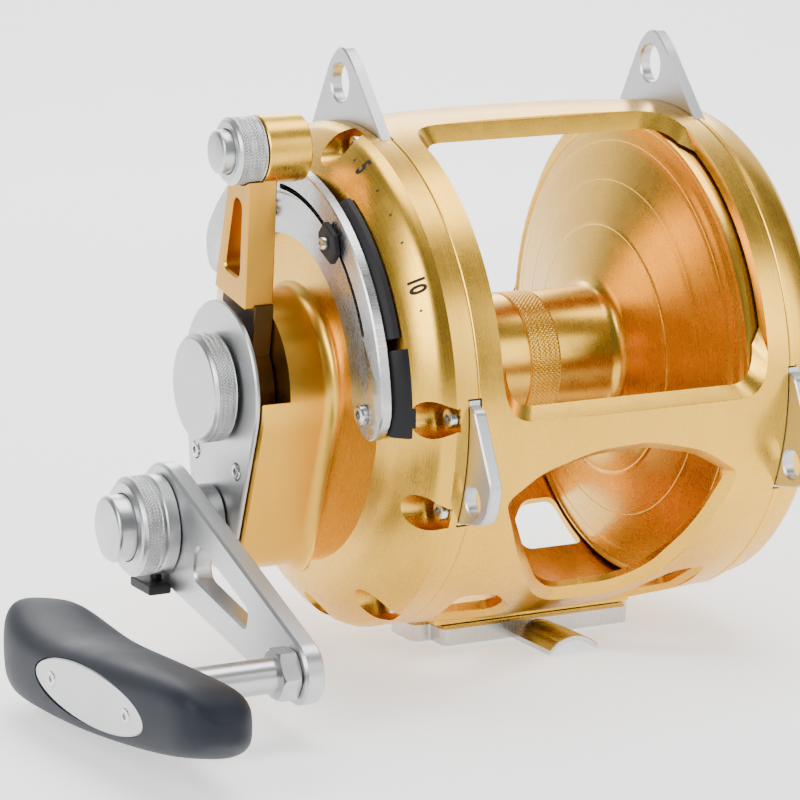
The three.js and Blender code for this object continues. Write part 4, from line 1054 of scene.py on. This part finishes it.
def build_shank():
    stud = lathe("handle_stud", outward(
        (66.8, 0), (66.8, 4.3), (67.2, 4.7), (74.1, 4.7), (80.6, 4.7), (80.6, 5.9), (112, 5.9),
        (112, 4), (138, 4), (138, 0),
    ), GRIP, 64)
    nut_outline = [polar(9.2, 60 * i, GRIP) for i in range(6)]
    nut = prism("nut", nut_outline, out(74.1), out(80.7), 0)
    crown_profile = outward((73, 0), (74.1, 8.2), (75.2, 10), (79.6, 10), (80.7, 8.2), (82, 0))
    combine(nut, lathe("crown", crown_profile, GRIP, 64), "INTERSECT")
    soften(nut, 25)
    combine(stud, nut, "UNION")
    soften(stud, 30)
    dress(stud, shank_silver, "crank", "silver_anodised", "handle_shank")


shank_silver = turned_metal("silver_shank", SILVER, 0.28, 0.3, GRIP, 0.8, 0.015)


# ---- hand grip

GRIP_SQUARENESS = 0.62
GRIP_LEAN = 0.18
PLATE_LEAN = 4.6
# Each station of the grip along Y: half depth along X, top and bottom.
GRIP_STATIONS = (
    (-65.5, 4, 7, 1), (-63, 9, 12, -1.5), (-58, 12.5, 15.2, -5), (-50, 14, 16.3, -9),
    (-30, 15.8, 15, -13), (-5, 18.3, 13.2, -16.4), (20, 20.6, 10.9, -19), (45, 21.3, 9.4, -20.3),
    (62, 21, 10.8, -21), (74, 18.5, 13.4, -21.8), (81, 15, 13.6, -19), (85.5, 10.5, 9.5, -13),
    (87.5, 5.5, 4, -7),
)


def squared(value):
    return math.copysign(abs(value) ** GRIP_SQUARENESS, value)


def build_grip():
    sides = 32
    rings = []
    for y, half_depth, top, bottom in GRIP_STATIONS:
        ring = []
        for i in range(sides):
            angle = 2 * math.pi * i / sides
            x = squared(math.cos(angle)) * half_depth
            z = (top + bottom) / 2 + squared(math.sin(angle)) * (top - bottom) / 2 - x * GRIP_LEAN
            ring.append((out(GRIP_MIDDLE) + x, GRIP[0] + y, GRIP[1] + z))
        rings.append(ring)
    body = skin("soft_grip", rings, 60)
    body.modifiers.new("smooth", "SUBSURF").levels = 2
    apply_modifiers(body)
    recess = on_grip_face(prism("recess", oval(37.3, 9.7), 0.3, -8, 0))
    cut(body, recess, rod("bore", out(100), out(112.5), 6.2, GRIP), smooth=50)
    cut(body, rod("bore", out(105), out(138.4), 4.3, GRIP), smooth=50)
    dress(body, rubber, "grip", "grip_rubber", "hand_grip")
    medallion = on_grip_face(prism("grip_oval", oval(37, 9.4), 0, -1.4, 0.4))
    dress(medallion, silver, "grip", "silver_anodised", "grip_plate")


def oval(half_length, half_height):
    steps = [2 * math.pi * i / 96 for i in range(96)]
    return [(2 + half_length * math.cos(a), 0.6 + half_height * math.sin(a)) for a in steps]


def on_grip_face(piece):
    """Places a piece drawn round the X axis on the outer face of the grip."""
    place = Matrix.Translation(Vector((out(GRIP_FACE), *GRIP)) * MM)
    piece.data.transform(place @ Matrix.Rotation(math.radians(PLATE_LEAN), 4, "Z"))
    return piece


# ---- index marks

def dome_radius(distance):
    distances = [-HALF_WIDTH - p[0] for p in SHOULDER]
    return float(np.interp(distance, distances, [p[1] for p in SHOULDER]))


def on_dome(u, v, degrees, station, lift=0.12):
    """Point on the dome: u runs round it and v towards the seam, both in millimetres."""
    radius = dome_radius(station - v) + lift
    angle = degrees + math.degrees(u / radius)
    return (out(station - v), *polar(radius, angle))


def engraved(name, text, size, degrees, station):
    curve = bpy.data.curves.new(name, "FONT")
    curve.body = text
    curve.size = size
    curve.resolution_u = 3
    curve.offset = 0.22
    source = bpy.data.objects.new(name, curve)
    bpy.context.scene.collection.objects.link(source)
    graph = bpy.context.evaluated_depsgraph_get()
    mesh = bpy.data.meshes.new_from_object(source.evaluated_get(graph))
    bpy.data.objects.remove(source)
    bm = bmesh.new()
    bm.from_mesh(mesh)
    bmesh.ops.triangulate(bm, faces=bm.faces)
    bmesh.ops.subdivide_edges(bm, edges=bm.edges, cuts=2, use_grid_fill=True)
    bmesh.ops.triangulate(bm, faces=bm.faces)
    bm.to_mesh(mesh)
    bm.free()
    vertices = [on_dome(v.co.x, v.co.y, degrees, station) for v in mesh.vertices]
    faces = [tuple(p.vertices) for p in mesh.polygons]
    mark = make(name, vertices, faces)
    dress(mark, ink, "housing", "black_plastic")


def build_marks():
    engraved("index_5", "5", 6.0, 112, 17)
    engraved("index_10", "10", 6.0, 147, 17)
    for i, degrees in enumerate((97, 103, 109, 122, 130, 138, 155)):
        corners = rectangle(-0.35, 0.35, -0.35, 0.35)
        points = [on_dome(u, v, degrees, 15.5) for u, v in corners]
        dot = make(f"index_dot_{i + 1}", points, [(0, 1, 2, 3)])
        dress(dot, ink, "housing", "black_plastic")


# ---- tail knob and inner parts

def build_click_knob():
    centre = (0, 31)
    rim = [(tail(24.4), 0), (tail(24.4), 6.1), (tail(24.8), 6.5)]
    rim += spread(tail(25), tail(28), 6.5, 12)
    rim += [(tail(28.5), 6.2), (tail(29), 5.6), (tail(29), 0)]
    knob = lathe("click_button", rim, centre, 180, False, 14, knurl(tail(25), tail(28), 36, 1.2, 0.35))
    stem = rod("click_stem", tail(-7), tail(24.5), 2.0, centre)
    tongue = rounded([(-2.4, 26.7, 0), (0, 24.9, 0), (2.4, 26.7, 0), (2.4, 34, 1), (-2.4, 34, 1)])
    joined(knob, stem, prism("click_tongue", tongue, tail(-8), tail(-5), 0.2))
    dress(knob, silver, "click_knob", "silver_anodised", "click_knob")


def dress_inner_parts():
    inner = (
        "spindle", "high_gear", "low_gear", "high_pinion", "low_pinion", "anti_reverse_wheel",
        "anti_reverse_pawl", "click_wheel", "spool_bearing_crank_side", "spool_bearing_tail_side",
        "pressure_plate", "drag_cam", "drag_spring", "foot_screw_1", "foot_screw_2",
    )
    for name in inner:
        recoat(name, bright if name.startswith("foot") else machined)
    recoat("drag_disc", carbon)


def recoat(name, material):
    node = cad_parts[name]
    node.data.materials.clear()
    node.data.materials.append(material)
    node.data.polygons.foreach_set("use_smooth", [True] * len(node.data.polygons))
    node.data.set_sharp_from_angle(angle=math.radians(30))


# ---- stage, light and camera

def build_stage():
    floor_mesh = bpy.data.meshes.new("floor")
    bm = bmesh.new()
    sweep = [(-1.6, 0.0), (1.1, 0.0)]
    sweep += [(1.1 + 0.6 * math.sin(a), 0.6 - 0.6 * math.cos(a)) for a in np.linspace(0.1, 1.5, 12)]
    sweep.append((1.72, 2.4))
    rows = []
    for y, z in sweep:
        rows.append([bm.verts.new((x, y, z - 0.0008)) for x in (-3.0, 3.0)])
    for a, b in zip(rows, rows[1:]):
        bm.faces.new((a[0], a[1], b[1], b[0]))
    bm.to_mesh(floor_mesh)
    bm.free()
    floor = bpy.data.objects.new("floor", floor_mesh)
    bpy.context.scene.collection.objects.link(floor)
    floor.rotation_euler.z = math.radians(-27.2)
    floor_mesh.polygons.foreach_set("use_smooth", [True] * len(floor_mesh.polygons))
    s = Shader("floor_paper")
    s.set(Base_Color=s.mix(s.noise(s.place, 3.0), (0.93, 0.93, 0.93, 1), (0.95, 0.95, 0.95, 1)))
    s.set(Roughness=0.9, Emission_Color=(1.0, 1.0, 1.0, 1.0), Emission_Strength=0.9)
    floor_mesh.materials.append(s.material)


def softbox(name, at, towards, size, power):
    light = bpy.data.lights.new(name, "AREA")
    light.shape = "RECTANGLE"
    light.size, light.size_y = size
    light.energy = power
    lamp = bpy.data.objects.new(name, light)
    lamp.location = at
    aim = Vector(towards) - Vector(at)
    lamp.rotation_euler = aim.to_track_quat("-Z", "Y").to_euler()
    bpy.context.scene.collection.objects.link(lamp)


def build_lights():
    middle = (0, 0, 0.1)
    softbox("key_left", (-1.5, -0.6, 0.9), middle, (0.7, 1.2), 24)
    softbox("top", (0.1, 0.1, 1.5), middle, (1.4, 0.9), 25)
    softbox("fill_right", (1.1, -1.5, 0.7), middle, (0.8, 1.2), 13)
    softbox("back", (0.5, 1.3, 0.9), middle, (1.2, 0.6), 12)
    world = bpy.data.worlds.new("studio")
    bpy.context.scene.world = world
    world.use_nodes = True
    background = world.node_tree.nodes["Background"]
    background.inputs["Color"].default_value = (0.9, 0.92, 0.95, 1)
    background.inputs["Strength"].default_value = 0.24


def build_camera():
    camera = bpy.data.cameras.new("camera")
    camera.sensor_width = 36
    camera.lens = 174.2
    camera.clip_end = 20
    eye = bpy.data.objects.new("camera", camera)
    right = Vector((0.8894, -0.4571, 0.0))
    up = Vector((0.0921, 0.1791, 0.9795))
    back = Vector((-0.4477, -0.8712, 0.2014))
    pose = Matrix((right, up, back)).transposed().to_4x4()
    pose.translation = (-0.6589, -1.1945, 0.3627)
    eye.matrix_world = pose
    bpy.context.scene.collection.objects.link(eye)
    bpy.context.scene.camera = eye


build_camera()
build_frame()
build_crank_side_plate()
build_tail_side_plate()
build_lugs()
build_foot()
build_spool()
build_cover()
build_quadrant()
build_strike_stop()
build_screws()
build_lever()
build_preset_knob()
build_crank()
build_grip()
build_marks()
build_click_knob()
dress_inner_parts()
build_stage()
build_lights()
